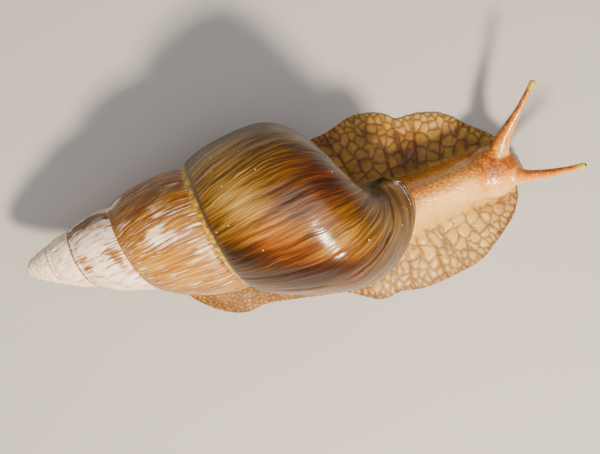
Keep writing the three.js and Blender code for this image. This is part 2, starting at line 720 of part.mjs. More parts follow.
keep('shell_body_whorl', whorls[0], materials.bodyWhorl);
keep('shell_penultimate_whorl', whorls[1], materials.penultimate);
keep('shell_spire_whorl', whorls[2], materials.spire);
keep('shell_apex', whorls[3], materials.apex);
keep('shell_lip', lip, materials.lip);
keep('mantle_collar', mantle, materials.mantle);

const mouth = ellipsoid(MOUTH_CENTRE, MOUTH_RADII, 12, 8);
const feelers = {
  left: feeler(LEFT_TENTACLE, TENTACLE_STEPS),
  right: feeler(RIGHT_TENTACLE, TENTACLE_STEPS),
};
const lowerFeelers = {
  left: feeler(LOWER_TENTACLES.left, LOWER_TENTACLE_STEPS),
  right: feeler(LOWER_TENTACLES.right, LOWER_TENTACLE_STEPS),
};

let body = loft(STATIONS.map(bodySection)).add(ellipsoid(HEAD_CENTRE, HEAD_RADII, 20, 12));
for (const room of [...shellRoom, swollen(largestPart(mantle), 1.3 * GAP)]) {
  body = body.subtract(room);
}
body = largestPart(body);

// The tail under the spire, then the foot's middle, its lobes and the neck over the sole.
const [aheadOfTip, tailTip] = partAcross(body, TAIL_CUTS[0]);
const [aheadOfTail, tailMiddle] = partAcross(aheadOfTip, TAIL_CUTS[1]);
const [foreBody, footRear] = partAcross(aheadOfTail, LOBE_START);
keep('tail_tip', tailTip, materials.tail);
keep('tail_base', tailMiddle, materials.tail);
keep('foot_under_shell', footRear, materials.tail);

const [leftLobe, notLeft] = part(foreBody, fromBody(0, CREST_N + NECK_SIDE, 0), leftward);
const [middle, rightLobe] = part(notLeft, fromBody(0, CREST_N - NECK_SIDE, 0), leftward);
for (const [side, lobe] of [['left', leftLobe], ['right', rightLobe]]) {
  const [front, rear] = partAcross(lobe, LOBE_CUT);
  keep(`foot_lobe_${side}_rear`, rear, materials.lobe);
  keep(`foot_lobe_${side}_front`, front, materials.lobe);
}

const [upper, sole] = part(middle, fromBody(0, 0, SOLE_TOP), upward);
const [soleFront, soleMiddle] = partAcross(sole, FOOT_FRONT_CUT);
keep('foot_sole', soleMiddle, materials.sole);
keep('foot_front', soleFront, materials.sole);

const [aheadOfRoot, neckRoot] = partAcross(upper, NECK_CUTS[0]);
const [aheadOfRear, neckRear] = partAcross(aheadOfRoot, NECK_CUTS[1]);
const [headBlock, neckFront] = partAcross(aheadOfRear, NECK_CUTS[2]);
keep('neck_root', neckRoot, materials.neck);
keep('neck_rear', neckRear, materials.neck);
keep('neck_front', neckFront, materials.neck);

const headRoom = [mouth, feelers.left, feelers.right, lowerFeelers.left, lowerFeelers.right];
const head = headRoom.reduce((solid, room) => solid.subtract(swollen(room, 1.3 * GAP)), headBlock);
keep('head', head, materials.head);
const mouthPad = [lowerFeelers.left, lowerFeelers.right, feelers.right]
  .reduce((solid, room) => solid.subtract(swollen(room, 1.3 * GAP)), mouth);
keep('mouth', mouthPad.subtract(swollen(largestPart(soleFront), 1.3 * GAP)), materials.head);

// Each long tentacle is parted into base, shaft and tip, with the eye set in the tip.
for (const side of ['left', 'right']) {
  const rows = side === 'left' ? LEFT_TENTACLE : RIGHT_TENTACLE;
  const path = new THREE.CatmullRomCurve3(rows.map(([t, n, z]) => fromBody(t, n, z)));
  const eyePlace = path.getPoint(1).addScaledVector(path.getTangent(1), 0.35);
  const eye = new THREE.SphereGeometry(EYE_RADIUS, 10, 6);
  eye.translate(eyePlace.x, eyePlace.y, eyePlace.z + 0.55);
  const eyeSolid = solidOfGeometry(eye);
  const free = feelers[side].subtract(swollen(eyeSolid, GAP));
  const [outer, base] = part(free, path.getPoint(TENTACLE_CUTS[0]), path.getTangent(TENTACLE_CUTS[0]));
  const [tip, shaft] = part(outer, path.getPoint(TENTACLE_CUTS[1]), path.getTangent(TENTACLE_CUTS[1]));
  keep(`tentacle_${side}_base`, base, materials.tentacle);
  keep(`tentacle_${side}_shaft`, shaft, materials.tentacle);
  keep(`tentacle_${side}_tip`, tip, materials.tentacle);
  keep(`eye_${side}`, eyeSolid, materials.eye);
  keep(`lower_tentacle_${side}`, lowerFeelers[side], materials.tentacle);
}

function meshOf({ name, solid, material }) {
  const { vertProperties, triVerts } = solid.getMesh();
  const geometry = new THREE.BufferGeometry();
  geometry.setAttribute('position', new THREE.BufferAttribute(vertProperties, 3));
  geometry.setIndex(new THREE.BufferAttribute(triVerts, 1));
  geometry.computeVertexNormals();
  const mesh = new THREE.Mesh(geometry, material);
  mesh.name = name;
  return mesh;
}

const snail = new THREE.Group();
snail.add(...pieces.map(meshOf));

// The origin is the middle of the snail's own extent, on the floor.
const extent = new THREE.Box3().setFromObject(snail);
const middlePoint = extent.getCenter(new THREE.Vector3());
snail.position.set(-middlePoint.x, -middlePoint.y, 0);
snail.updateMatrixWorld(true);

export default snail;
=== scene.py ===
# %% [markdown]
# # A giant African land snail, life size
# A snail is two very different things in one animal: a hard, glossy spiral shell that never bends,
# and a wet, soft body that is one unbroken skin from the lips to the tip of the tail. So this
# lesson makes two main pieces: the shell, grown line by line from its own spiral, and one skin,
# put together from simple forms, melted into one mesh and then wrinkled.

import math

import bpy
import numpy as np
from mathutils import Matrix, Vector
from mathutils.bvhtree import BVHTree


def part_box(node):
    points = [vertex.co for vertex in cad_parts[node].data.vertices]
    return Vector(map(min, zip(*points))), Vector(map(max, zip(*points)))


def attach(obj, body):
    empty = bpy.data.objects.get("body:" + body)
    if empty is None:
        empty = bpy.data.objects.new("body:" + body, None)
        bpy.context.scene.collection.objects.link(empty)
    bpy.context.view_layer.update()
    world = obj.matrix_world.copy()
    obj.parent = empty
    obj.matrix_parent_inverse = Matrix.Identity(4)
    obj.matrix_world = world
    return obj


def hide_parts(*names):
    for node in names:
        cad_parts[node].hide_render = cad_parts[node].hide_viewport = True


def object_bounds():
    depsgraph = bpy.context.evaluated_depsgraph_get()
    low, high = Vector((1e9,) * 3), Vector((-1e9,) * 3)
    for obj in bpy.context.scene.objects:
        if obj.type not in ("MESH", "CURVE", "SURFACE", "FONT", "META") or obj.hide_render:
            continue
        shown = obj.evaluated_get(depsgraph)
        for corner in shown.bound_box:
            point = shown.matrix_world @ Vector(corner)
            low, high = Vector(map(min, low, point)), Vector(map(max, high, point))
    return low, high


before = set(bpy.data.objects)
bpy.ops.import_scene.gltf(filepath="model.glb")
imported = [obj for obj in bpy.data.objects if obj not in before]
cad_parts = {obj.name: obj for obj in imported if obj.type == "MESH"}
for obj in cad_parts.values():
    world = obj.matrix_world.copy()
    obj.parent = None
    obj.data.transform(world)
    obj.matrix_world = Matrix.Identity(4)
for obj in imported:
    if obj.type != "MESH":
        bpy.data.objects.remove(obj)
cad_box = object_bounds()
MM = 0.001
TURN = 2 * math.pi
print("nodes:", len(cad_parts), "box:", [[round(v / MM, 1) for v in corner] for corner in cad_box])


# %% [markdown]
# ## Small helpers
# Every operator works on what is selected, so each helper first makes one object the only one
# selected. Meshes that follow a formula are built from arrays of points and faces, since a
# formula places a thousand growth lines more evenly than a hand could.

# %% Helpers for objects
def only(obj):
    bpy.ops.object.select_all(action="DESELECT")
    obj.select_set(True)
    bpy.context.view_layer.objects.active = obj
    return obj


def added(name):
    obj = bpy.context.view_layer.objects.active
    obj.name = name
    return only(obj)


def mesh_object(name, points, faces):
    mesh = bpy.data.meshes.new(name)
    mesh.from_pydata(points.tolist(), [], faces)
    mesh.update()
    obj = bpy.data.objects.new(name, mesh)
    bpy.context.scene.collection.objects.link(obj)
    return only(obj)


def edit(*steps):
    """Runs edit-mode operators, each given as (operator, settings), on everything in the mesh."""
    bpy.ops.object.mode_set(mode="EDIT")
    bpy.ops.mesh.select_all(action="SELECT")
    for operator, settings in steps:
        operator(**settings)
    bpy.ops.object.mode_set(mode="OBJECT")


def apply(obj, kind, **settings):
    only(obj)
    modifier = obj.modifiers.new(kind.title(), kind)
    for name, value in settings.items():
        setattr(modifier, name, value)
    bpy.ops.object.modifier_apply(modifier=modifier.name)
    return obj


def points_of(obj):
    flat = np.empty(3 * len(obj.data.vertices))
    obj.data.vertices.foreach_get("co", flat)
    return flat.reshape(-1, 3)


def normals_of(obj):
    flat = np.empty(3 * len(obj.data.vertices))
    obj.data.vertex_normals.foreach_get("vector", flat)
    return flat.reshape(-1, 3)


def move_points(obj, points):
    obj.data.vertices.foreach_set("co", points.astype(np.float32).ravel())
    obj.data.update()


def write_attribute(obj, name, values):
    attribute = obj.data.attributes.new(name, "FLOAT", "POINT")
    attribute.data.foreach_set("value", values.astype(np.float32))


def smoothly(x):
    x = np.clip(x, 0, 1)
    return x * x * (3 - 2 * x)


def lerp(a, b, share):
    return a + (b - a) * share


# %% [markdown]
# ## Soft random values
# Growth lines, wear and wrinkles are irregular but smooth. A texture node could give that to a
# material, but not to the shape. A lattice of random numbers, read with smooth steps between
# them, gives it to both, and a fixed seed gives the same animal on each run.

# %% Value noise
def noise(u, v, seed, wide=97, deep=61):
    lattice = np.random.RandomState(seed).rand(wide, deep)
    i, j = np.floor(u).astype(int), np.floor(v).astype(int)
    a, b = smoothly(u - i), smoothly(v - j)
    i, j, i2, j2 = i % wide, j % deep, (i + 1) % wide, (j + 1) % deep
    near = lerp(lattice[i, j], lattice[i, j2], b)
    far = lerp(lattice[i2, j], lattice[i2, j2], b)
    return lerp(near, far, a)


# %% [markdown]
# ## The shell's spiral
# A snail's shell grows only at its lip: each growth line is the same outline, turned round the
# axis and a little larger than the one before. Read backwards from the lip, each line is turned
# and shrunk, faster along the axis than across it, until the whorls close at the apex. A Screw
# modifier can't shrink two ways at once or lie on the whorl before it, so the lines are laid by
# code, with the same named sizes as the solids.

# %% The shell's sizes, in millimetres
ZERO = np.array([-0.926, -10.357, 0.0])  # the construction's zero, seen from the frame's origin
APEX = np.array([-109.68, -17.46, 26.0]) + ZERO
AXIS_HEADING, AXIS_RISE = math.radians(13.93), math.radians(9)
LIP_ANGLE = math.radians(219.74)
SUTURE, PERIPHERY, COLUMELLA = np.array([90.71, 27.28]), np.array([131.56, 38.8]), np.array([153.85, 2.2])
SHOULDER_WAY, BASE_WAY = math.radians(50.2), math.radians(61.5)
SHOULDER_PULL, REAR_PULL, FRONT_PULL, BASE_PULL = 9.39, 10.28, 17.42, 19.69
SHRINK, ADULT, ADULT_SPAN = np.array([0.0984, 0.0623]), np.array([0.1775, 0.1053]), 2.422
SPIRE_TURNS = 6.4
WHORL_BULGE, OLD_WHORL_BULGE = 0.078, 0.062  # swelling of a flank, by its height
SEAM = 0.18       # where the next suture meets the curve of the base
SLANT = 0.062     # part of a turn by which a growth line leans from suture to base

STEPS = 480       # growth lines in one turn
STRIP = 24        # rows from suture to seam
BASE = 16         # rows from the seam to the columella
CAP = 6           # growth lines from the lip's edge to the floor of the aperture
LIP_WALL = 1.7
ROWS = STRIP + BASE

way = np.array([
    math.cos(AXIS_RISE) * math.cos(AXIS_HEADING),
    math.cos(AXIS_RISE) * math.sin(AXIS_HEADING),
    math.sin(AXIS_RISE),
])
left = np.array([-math.sin(AXIS_HEADING), math.cos(AXIS_HEADING), 0])
up = np.cross(way, left)


# %% [markdown]
# ### One growth line, and all of them
# A growth line is drawn as two curves, from the suture over the flank to the widest point, and on
# to the columella. All older lines are that one, shrunk and turned, and let down onto the whorl
# they leave behind. Working on all lines at once keeps this fast.

# %% Growth lines
def bezier(a, b, c, d, u):
    u = np.asarray(u)[:, None]
    return (1 - u) ** 3 * a + 3 * (1 - u) ** 2 * u * b + 3 * (1 - u) * u ** 2 * c + u ** 3 * d


def lip_outline():
    shoulder = np.array([math.cos(SHOULDER_WAY), math.sin(SHOULDER_WAY)])
    base = np.array([math.cos(BASE_WAY), math.sin(BASE_WAY)])
    rear = (SUTURE, SUTURE + SHOULDER_PULL * shoulder, PERIPHERY - [REAR_PULL, 0], PERIPHERY)
    front = (PERIPHERY, PERIPHERY + [FRONT_PULL, 0], COLUMELLA + BASE_PULL * base, COLUMELLA)
    flank = 3 * STRIP // 4
    return np.vstack([
        bezier(*rear, np.linspace(0, 1, flank + 1) ** 1.5),
        bezier(*front, SEAM * np.arange(1, STRIP - flank + 1) / (STRIP - flank)),
        bezier(*front, SEAM + (1 - SEAM) * np.arange(1, BASE + 1) / BASE),
    ])


def shares(rows):
    lengths = np.concatenate([[0], np.cumsum(np.linalg.norm(np.diff(rows, axis=0), axis=1))])
    return lengths / lengths[-1]


def growth(back):
    adult = 1 - np.exp(-np.maximum(back, -1.5) / ADULT_SPAN)
    return np.exp(-(SHRINK * back[:, None] - ADULT * adult[:, None]))


def growth_lines(back):
    """Outlines [line, row, (along, out)], each "back" radians behind the lip."""
    outline = lip_outline()
    strip, base = shares(outline[:STRIP + 1]), shares(outline[STRIP:])
    rows = outline[None] * growth(back)[:, None]
    seam = SUTURE * growth(back - TURN)
    shift = (seam - rows[:, STRIP]) * smoothly((back / TURN - 0.7) / 0.3)[:, None]
    share = np.concatenate([strip ** 2, (1 - base[1:]) ** 2])
    rows = rows + shift[:, None] * share[None, :, None]
    chord = seam - rows[:, 0]
    outward = np.stack([-chord[:, 1], chord[:, 0]], 1)
    bulge = lerp(WHORL_BULGE, OLD_WHORL_BULGE, smoothly((back / TURN - 1.5) / 0.9))
    swell = bulge[:, None] * (1 - np.abs(2 * strip - 1) ** 2.6)
    spire = rows[:, :1] + chord[:, None] * strip[:, None] + outward[:, None] * swell[..., None]
    blend = smoothly((back - TURN) / (0.7 * TURN))[:, None, None]
    rows[:, :STRIP + 1] = lerp(rows[:, :STRIP + 1], spire, blend)
    return rows


def beside_axis(rows, back):
    angle = (LIP_ANGLE - back)[:, None, None]
    out = rows[..., 1:]
    return APEX + rows[..., :1] * way + out * (np.cos(angle) * left + np.sin(angle) * up)


def inset(rows, wall):
    """Rows moved in from the outline by a wall's thickness."""
    ahead = np.gradient(rows, axis=1)
    ahead /= np.linalg.norm(ahead, axis=2, keepdims=True)
    return rows + np.stack([ahead[..., 1], -ahead[..., 0]], 2) * wall[..., None]


lines = int(SPIRE_TURNS * STEPS)
back = TURN * np.arange(lines + 1) / STEPS
rows = growth_lines(back)
print("growth lines:", lines, "length of the shell:", round(float(COLUMELLA[0]), 1), "mm")

# %% [markdown]
# ### Sculpture of the shell
# Close up, the shell is never smooth. Each pause in growth leaves a fine line along the old lip,
# a long pause leaves a groove, and the line where a whorl meets the one before is drawn up into
# a knobbly thread. A bump map could fake the lines, but not their shadows at the shell's edge, so
# all of it is cut into the mesh, inwards, and the shell keeps its size.

# %% Relief of the growth lines
turns = back[:, None] / TURN
row = np.arange(ROWS + 1)[None, :] + 0 * turns
young = smoothly((1.15 - turns) / 0.3)
lean = np.sin(np.minimum(row / STRIP / 1.4, 1) * math.pi / 2)
old_lip = turns - SLANT * smoothly(turns / 0.3) * lean
fine = noise(old_lip * 190, row / 10, 3)
ribs = noise(old_lip * 88, row / 12, 4)
folds = noise(old_lip * 40, row / 14, 5)
broad = noise(old_lip * 17, row / 18, 7)
depth = 0.08 * fine + 0.19 * ribs + 0.18 * folds * lerp(0.5, 1, young) + 0.24 * broad * young
PAUSES = [  # turns back from the lip at which growth stopped for a while
    0.0085, 0.021, 0.031, 0.052, 0.075, 0.118, 0.158, 0.205,
    0.262, 0.318, 0.394, 0.455, 0.53, 0.64, 0.79, 0.9,
]
for number, pause in enumerate(PAUSES):
    wander = 0.004 * (noise(row / 8, 0 * row, 20 + number) - 0.5)
    depth += lerp(0.3, 0.12, number % 3 / 2) * np.exp(-((old_lip + wander - pause) / 0.0022) ** 2)
strip_share = shares(lip_outline()[:STRIP + 1])
across = np.concatenate([strip_share, 1 + shares(lip_outline()[STRIP:])[1:]])[None, :] + 0 * turns
height_of_strip = np.linalg.norm(rows[:, STRIP] - rows[:, 0], axis=1)[:, None]
from_suture = across * np.maximum(height_of_strip, 3)
knobs = smoothly(noise(turns * 74, 0 * row, 11) * 1.5 - 0.2)
thread = np.exp(-((from_suture - 0.9) / 0.6) ** 2) * (0.25 + 0.75 * knobs)
hollow = np.exp(-((from_suture - 2.4) / 0.8) ** 2)
depth += 0.32 * hollow - 0.34 * thread
depth = np.maximum(depth + 0.1, 0)
pits = np.clip(noise(turns * 60, row / 2.2, 13) - 0.72, 0, 1) * 1.2 * (1 - young)
depth += pits
depth *= np.minimum(1, 0.15 + height_of_strip / 16)
print("deepest relief:", round(float(depth.max()), 2), "mm")

# %% [markdown]
# ### The shell's mesh
# The growth lines become one closed mesh. Row by row the flank of an older whorl ends on the
# suture of the next one, and shares its points, so no seam shows. At the lip the wall turns in
# with a rounded edge, and a little way inside the aperture it is closed by a floor that the
# mantle covers. The apex is closed by a small fan.

# %% Shell points
used = np.zeros((lines + 1, ROWS + 1), bool)
used[:, :STRIP] = True
used[:STEPS, STRIP] = True
used[:STEPS + CAP + 1, STRIP + 1:] = True
index = np.full(used.shape, -1)
index[used] = np.arange(used.sum())
index[STEPS:, STRIP] = index[:lines + 1 - STEPS, 0]

curl = np.zeros((lines + 1, ROWS + 1))
curl[0], curl[1] = 0.24 * LIP_WALL, 0.06 * LIP_WALL
taper = np.minimum(1, np.minimum(np.arange(ROWS + 1) / 3, np.arange(ROWS, -1, -1) / 2))
shell_points = beside_axis(inset(rows, curl * taper), back)[used]

inner_back = back[:CAP + 1]
inner_wall = LIP_WALL * np.array([0.62, 0.75, 0.83, 0.89, 0.94, 0.97, 1])[:, None] * taper
inner_points = beside_axis(inset(rows[:CAP + 1], inner_wall), inner_back)[:, 1:ROWS].reshape(-1, 3)
inner = np.empty((CAP + 1, ROWS + 1), int)
inner[:, 1:ROWS] = len(shell_points) + np.arange(len(inner_points)).reshape(CAP + 1, ROWS - 1)
inner[:, 0] = index[STEPS:STEPS + CAP + 1, STRIP + 1]
inner[:, ROWS] = index[:CAP + 1, ROWS]

PILLAR_STEP = STEPS // 60
pillar_lines = np.arange(CAP, STEPS + CAP + 1, PILLAR_STEP)
pillar_share = np.clip((back[pillar_lines] - back[CAP]) / math.radians(84), 0, 1)
pillar_along = rows[pillar_lines, ROWS, 0] - 5 * (1 - pillar_share) ** 1.3
callus = 1.5 * np.sin(np.clip(pillar_share * 0.8, 0, 1) * math.pi)[:, None] * (0.8 * left + 0.6 * up)
pillar_points = APEX + pillar_along[:, None] * way + callus
pillar = len(shell_points) + len(inner_points) + np.arange(len(pillar_points))
tip_point = APEX + rows[lines, 0, 0] * 0.35 * way
tip = pillar[-1] + 1

print("points:", len(shell_points), "outside,", len(inner_points), "inside the lip")

# %% [markdown]
# Each face also notes where it lies in the growth: turns back from the lip, and the way from
# suture to base. That is the shell's UV map, and its colours are painted by it later.

# %% Shell faces and their UV map
def quads(a, b):
    """Faces between two neighbouring lines of points."""
    return np.stack([a[:-1], b[:-1], b[1:], a[1:]], 1).tolist()


shell_faces, growth_uv = [], []
for j in range(lines):
    ranges = [(0, STRIP)]
    if j < STEPS:
        ranges = [(0, ROWS)]
    elif j < STEPS + CAP:
        ranges += [(STRIP + 1, ROWS)]
    for first, last in ranges:
        cells = quads(index[j, first:last + 1], index[j + 1, first:last + 1])
        shell_faces += cells
        at = across[0, first:last + 1]
        for i in range(len(cells)):
            growth_uv += [(turns[j, 0], at[i]), (turns[j + 1, 0], at[i]),
                          (turns[j + 1, 0], at[i + 1]), (turns[j, 0], at[i + 1])]
outer_count = len(shell_faces)
shell_faces += quads(inner[0], index[0])
for k in range(CAP):
    shell_faces += quads(inner[k + 1], inner[k])
for j in range(CAP, STEPS + CAP):
    m = (j - CAP) // PILLAR_STEP
    shell_faces.append([index[j + 1, ROWS], pillar[m], index[j, ROWS]])
    if (j + 1 - CAP) % PILLAR_STEP == 0:
        shell_faces.append([index[j + 1, ROWS], pillar[m + 1], pillar[m]])
floor_loop = [*inner[CAP, :ROWS], *pillar, *index[STEPS + CAP, STRIP + 2:ROWS + 1][::-1]]
floor_loop.insert(ROWS, index[CAP, ROWS])
shell_faces.append(floor_loop)
rim = [*index[lines - STEPS:lines + 1, 0], *index[lines, 1:STRIP]]
rim += [index[lines - STEPS, 0]]
shell_faces += [[rim[k + 1], rim[k], tip] for k in range(len(rim) - 1)]
fan_corners = 3 * (len(rim) - 1)
inner_corners = sum(len(face) for face in shell_faces[outer_count:]) - fan_corners
growth_uv += [(0.0, 1.5)] * inner_corners + [(SPIRE_TURNS, 0.5)] * fan_corners

all_points = np.vstack([shell_points, inner_points, pillar_points, tip_point[None]]) * MM
shell = mesh_object("shell", all_points, [[int(v) for v in face] for face in shell_faces])
uv = shell.data.uv_layers.new(name="growth")
uv.data.foreach_set("uv", np.array(growth_uv, np.float32).ravel())
edit((bpy.ops.mesh.normals_make_consistent, {"inside": False}))
moved = points_of(shell)
moved[:len(shell_points)] -= normals_of(shell)[:len(shell_points)] * depth[used][:, None] * MM
move_points(shell, moved)
shell.data.shade_smooth()
triangles = sum(len(p.vertices) - 2 for p in shell.data.polygons)
print("shell:", len(shell.data.vertices), "points,", triangles, "triangles")

# %% [markdown]
# ## The soft body's own measures
# The foot lies on the floor at a slant to the shell. Its shape is read from a few curves along it:
# the two margins with their notches and waves, the line of the back and neck, its width and its
# height. A few points and a smooth curve through them are easier to change than a sculpted mesh.

# %% Curves along the foot
TAIL_TIP = np.array([-49.2, -26.1]) + ZERO[:2]
HEADING = math.radians(20)
FORWARD = np.array([math.cos(HEADING), math.sin(HEADING)])
LEFTWARD = np.array([-math.sin(HEADING), math.cos(HEADING)])
RIGHT_MARGIN = np.array([
    [0, 0], [2, -4.4], [5.7, -8.8], [10.8, -13.3], [16.6, -16.8], [22.7, -18.6], [30.6, -18],
    [39.4, -19.6], [54, -22.8], [65, -25.6], [74.8, -31.9], [80, -33.2], [86, -32.6], [95.4, -34.5],
    [109, -33.9], [122.4, -31.6], [131.4, -26.4], [140.6, -19.5], [144.4, -14.9], [147, -8.9], [148, 0],
])
LEFT_MARGIN = np.array([
    [0, 0], [2, 4.6], [6, 9.5], [14, 15.5], [26, 21.5], [38, 27], [50, 33], [62, 38], [72, 41],
    [77, 41.2], [84, 42.8], [91, 44.5], [97, 43.7], [104.4, 40.8], [109.2, 36.9], [114, 36.6],
    [120, 35.7], [126, 33.5], [131, 30], [135, 25.8], [140.5, 20.8], [144.6, 16.6], [147, 10.5], [148, 0],
])
RIDGE = np.array([
    [0, 0, 2, 1.5], [8, 0, 6, 5], [20, 0.5, 10, 9], [36, 2, 15, 14], [52, 3, 19, 24], [66, 2.5, 19, 34],
    [80, 1.5, 16.5, 37], [92, 1.2, 13, 33.4], [102, 1.6, 11.6, 27.8], [114, 2, 11, 26.2],
    [126, 2.5, 11, 25.3],
    [136, 2.8, 10.5, 21.5], [142, 3, 8, 14], [146, 2, 4, 5], [148, 0, 1.5, 1.4],
])
MARGIN_HEIGHT = 1.6
LOBE_RISE = 6.4
FILLET_LEFT, FILLET_RIGHT = 2.6, 5.2  # soft fill where a lobe meets the neck
FLESH_IN_SHELL = 0.45  # how far the flesh reaches past the underside of the shell


def read_at(rows, t, column=1):
    """A smooth curve through rows [t, value, ...], read at many t."""
    t = np.asarray(t, float)
    last = len(rows) - 1
    i = np.clip(np.searchsorted(rows[:, 0], t) - 1, 0, last - 1)
    value, place = rows[:, column], rows[:, 0]
    slope = np.empty(last + 1)
    for k in range(last + 1):
        a, b = max(k - 1, 0), min(k + 1, last)
        slope[k] = (value[b] - value[a]) / (place[b] - place[a])
    span = place[i + 1] - place[i]
    u = np.clip((t - place[i]) / span, 0, 1)
    flat = (2 * u ** 3 - 3 * u ** 2 + 1) * value[i] + (3 * u ** 2 - 2 * u ** 3) * value[i + 1]
    return flat + (u ** 3 - 2 * u ** 2 + u) * span * slope[i] + (u ** 3 - u ** 2) * span * slope[i + 1]


def body_height(t, n):
    crest, half, top = (read_at(RIDGE, t, k) for k in (1, 2, 3))
    margin = np.where(n > crest, read_at(LEFT_MARGIN, t), read_at(RIGHT_MARGIN, t))
    inwards = np.clip((margin - n) / (margin - crest), 0, 1)
    rise = np.sin(inwards * math.pi / 2) ** 1.2
    lobe = MARGIN_HEIGHT + np.maximum(np.minimum(LOBE_RISE, top) - MARGIN_HEIGHT, 0) * rise
    aside = np.abs(n - crest) / half
    ridge = top * (1 - np.minimum(aside, 1) ** 2.4) ** 0.6
    fillet = np.where(n > crest, FILLET_LEFT, FILLET_RIGHT) * smoothly((1.5 - aside) / 0.75)
    lobe += fillet * smoothly((top - 10) / 12) * smoothly((inwards - 0.15) / 0.4)
    return (lobe ** 4 + ridge ** 4) ** 0.25


def from_body(t, n, z):
    t, n, z = np.broadcast_arrays(*(np.asarray(v, float) for v in (t, n, z)))
    flat = TAIL_TIP + t[..., None] * FORWARD + n[..., None] * LEFTWARD
    return np.concatenate([flat, z[..., None]], -1)


def to_body(points):
    offset = points[..., :2] - TAIL_TIP
    return offset @ FORWARD, offset @ LEFTWARD


print("foot:", RIDGE[-1, 0], "mm long, widest", LEFT_MARGIN[:, 1].max() - RIGHT_MARGIN[:, 1].min())

# %% [markdown]
# ## The foot and neck
# The foot is a low, wide cushion with a thin edge, and the back and neck stand on it as one long
# ridge. Stacked rings would bunch up at the wavy margin, so a grid is laid over it like a cloth
# and each of its points is lifted to the body's height. Where the shell sits on the back, rays
# sent up from the floor find its underside, and the flesh stops just inside it, so no gap shows.

# %% A grid shaped into the foot
ACROSS, ALONG = 96, 260
shell_tree = BVHTree.FromObject(shell, bpy.context.evaluated_depsgraph_get())


def under_shell(points):
    """Height of the shell's underside over each point of the floor, or a large number."""
    heights = np.full(len(points), 999.0)
    for k, point in enumerate(points):
        hit = shell_tree.ray_cast(Vector((point[0] * MM, point[1] * MM, 0)), Vector((0, 0, 1)))[0]
        if hit is not None:
            heights[k] = hit.z / MM
    return heights


bpy.ops.object.select_all(action="DESELECT")
bpy.ops.mesh.primitive_grid_add(x_subdivisions=ALONG, y_subdivisions=ACROSS, size=2)
foot = added("foot")
laid = points_of(foot)
u, v = (laid[:, 0] + 1) / 2, laid[:, 1]
foot_t = 0.35 + 147.4 * u
low, high, crest = read_at(RIGHT_MARGIN, foot_t), read_at(LEFT_MARGIN, foot_t), read_at(RIDGE, foot_t)
foot_n = np.where(v > 0, lerp(crest, high, np.abs(v) ** 0.9), lerp(crest, low, np.abs(v) ** 0.9))
waves = 0.9 * (noise(foot_t / 11, 0 * foot_t, 41) - 0.5)
waves += 0.5 * (noise(foot_t / 4.2, 0 * foot_t, 42) - 0.5)
swell = 2.4 * (noise(foot_t / 14 + 3, foot_n / 11 + 40, 43) - 0.5)
edge = np.abs(v) ** 12
height = body_height(foot_t, foot_n)
height += swell * smoothly((1 - np.abs(v)) / 0.25) * smoothly(np.abs(v) / 0.5)
height = lerp(height, 0.8 + 0.3 * waves, edge)
shelter = under_shell(from_body(foot_t, foot_n, 0))
height = np.minimum(height, shelter + FLESH_IN_SHELL)
move_points(foot, from_body(foot_t, foot_n, height) * MM)
edit(
    (bpy.ops.mesh.extrude_region_move, {"TRANSFORM_OT_translate": {"value": (0, 0, -0.05)}}),
    (bpy.ops.transform.resize, {"value": (1, 1, 0), "center_override": (0, 0, 0)}),
    (bpy.ops.mesh.select_all, {"action": "SELECT"}),
    (bpy.ops.mesh.normals_make_consistent, {"inside": False}),
)
print("foot and neck:", len(foot.data.vertices), "points, up to", points_of(foot)[:, 2].max() / MM, "mm")

# %% [markdown]
# ## The head and the lips
# The head is a blunt muzzle over the front of the foot, with a cheek under each tentacle, and its
# lips hang below. Flesh like this is all round swellings, so each starts as a sphere that is
# resized, turned and moved in edit mode, and the joints between them are melted away later.

# %% Head and lips from spheres
def lump(name, t, n, z, radii, turn=0.0):
    bpy.ops.object.select_all(action="DESELECT")
    centre = from_body(t, n, z) * MM
    bpy.ops.mesh.primitive_uv_sphere_add(segments=40, ring_count=24, radius=MM, location=(0, 0, 0))
    obj = added(name)
    edit(
        (bpy.ops.transform.resize, {"value": radii}),
        (bpy.ops.transform.rotate, {
            "value": -(HEADING + turn), "orient_axis": "Z", "center_override": (0, 0, 0)}),
        (bpy.ops.transform.translate, {"value": tuple(centre)}),
    )
    return obj


lumps = [
    lump("muzzle", 136.5, 2.2, 14.6, (12, 11.2, 9.6)),
    lump("throat", 133.0, 2.2, 9.4, (13.0, 10.4, 8.0)),
    lump("nape", 126.0, 2.3, 13.6, (10.0, 9.4, 9.2)),
    lump("upper_lip", 145.4, 2.1, 9.6, (4.6, 6.2, 3.6)),
    lump("left_lip", 147.4, 4.4, 8.6, (2.7, 2.7, 2.5)),
    lump("right_lip", 147.9, -0.6, 8.6, (2.7, 2.7, 2.5)),
    lump("left_cheek", 139.8, 7.6, 16.6, (5.2, 4.6, 4.8)),
    lump("right_cheek", 142.2, -1.8, 15.4, (5.2, 4.8, 4.8)),
]
print("head:", [obj.name for obj in lumps])

# %% [markdown]
# ## The mantle
# The mantle is the soft collar that makes the shell. It fills the aperture and swells a little way
# out of it, so it is lofted from rings that take the outline of the lip and shrink as they come
# out. A plain cap would leave a gap along the lip's curve.

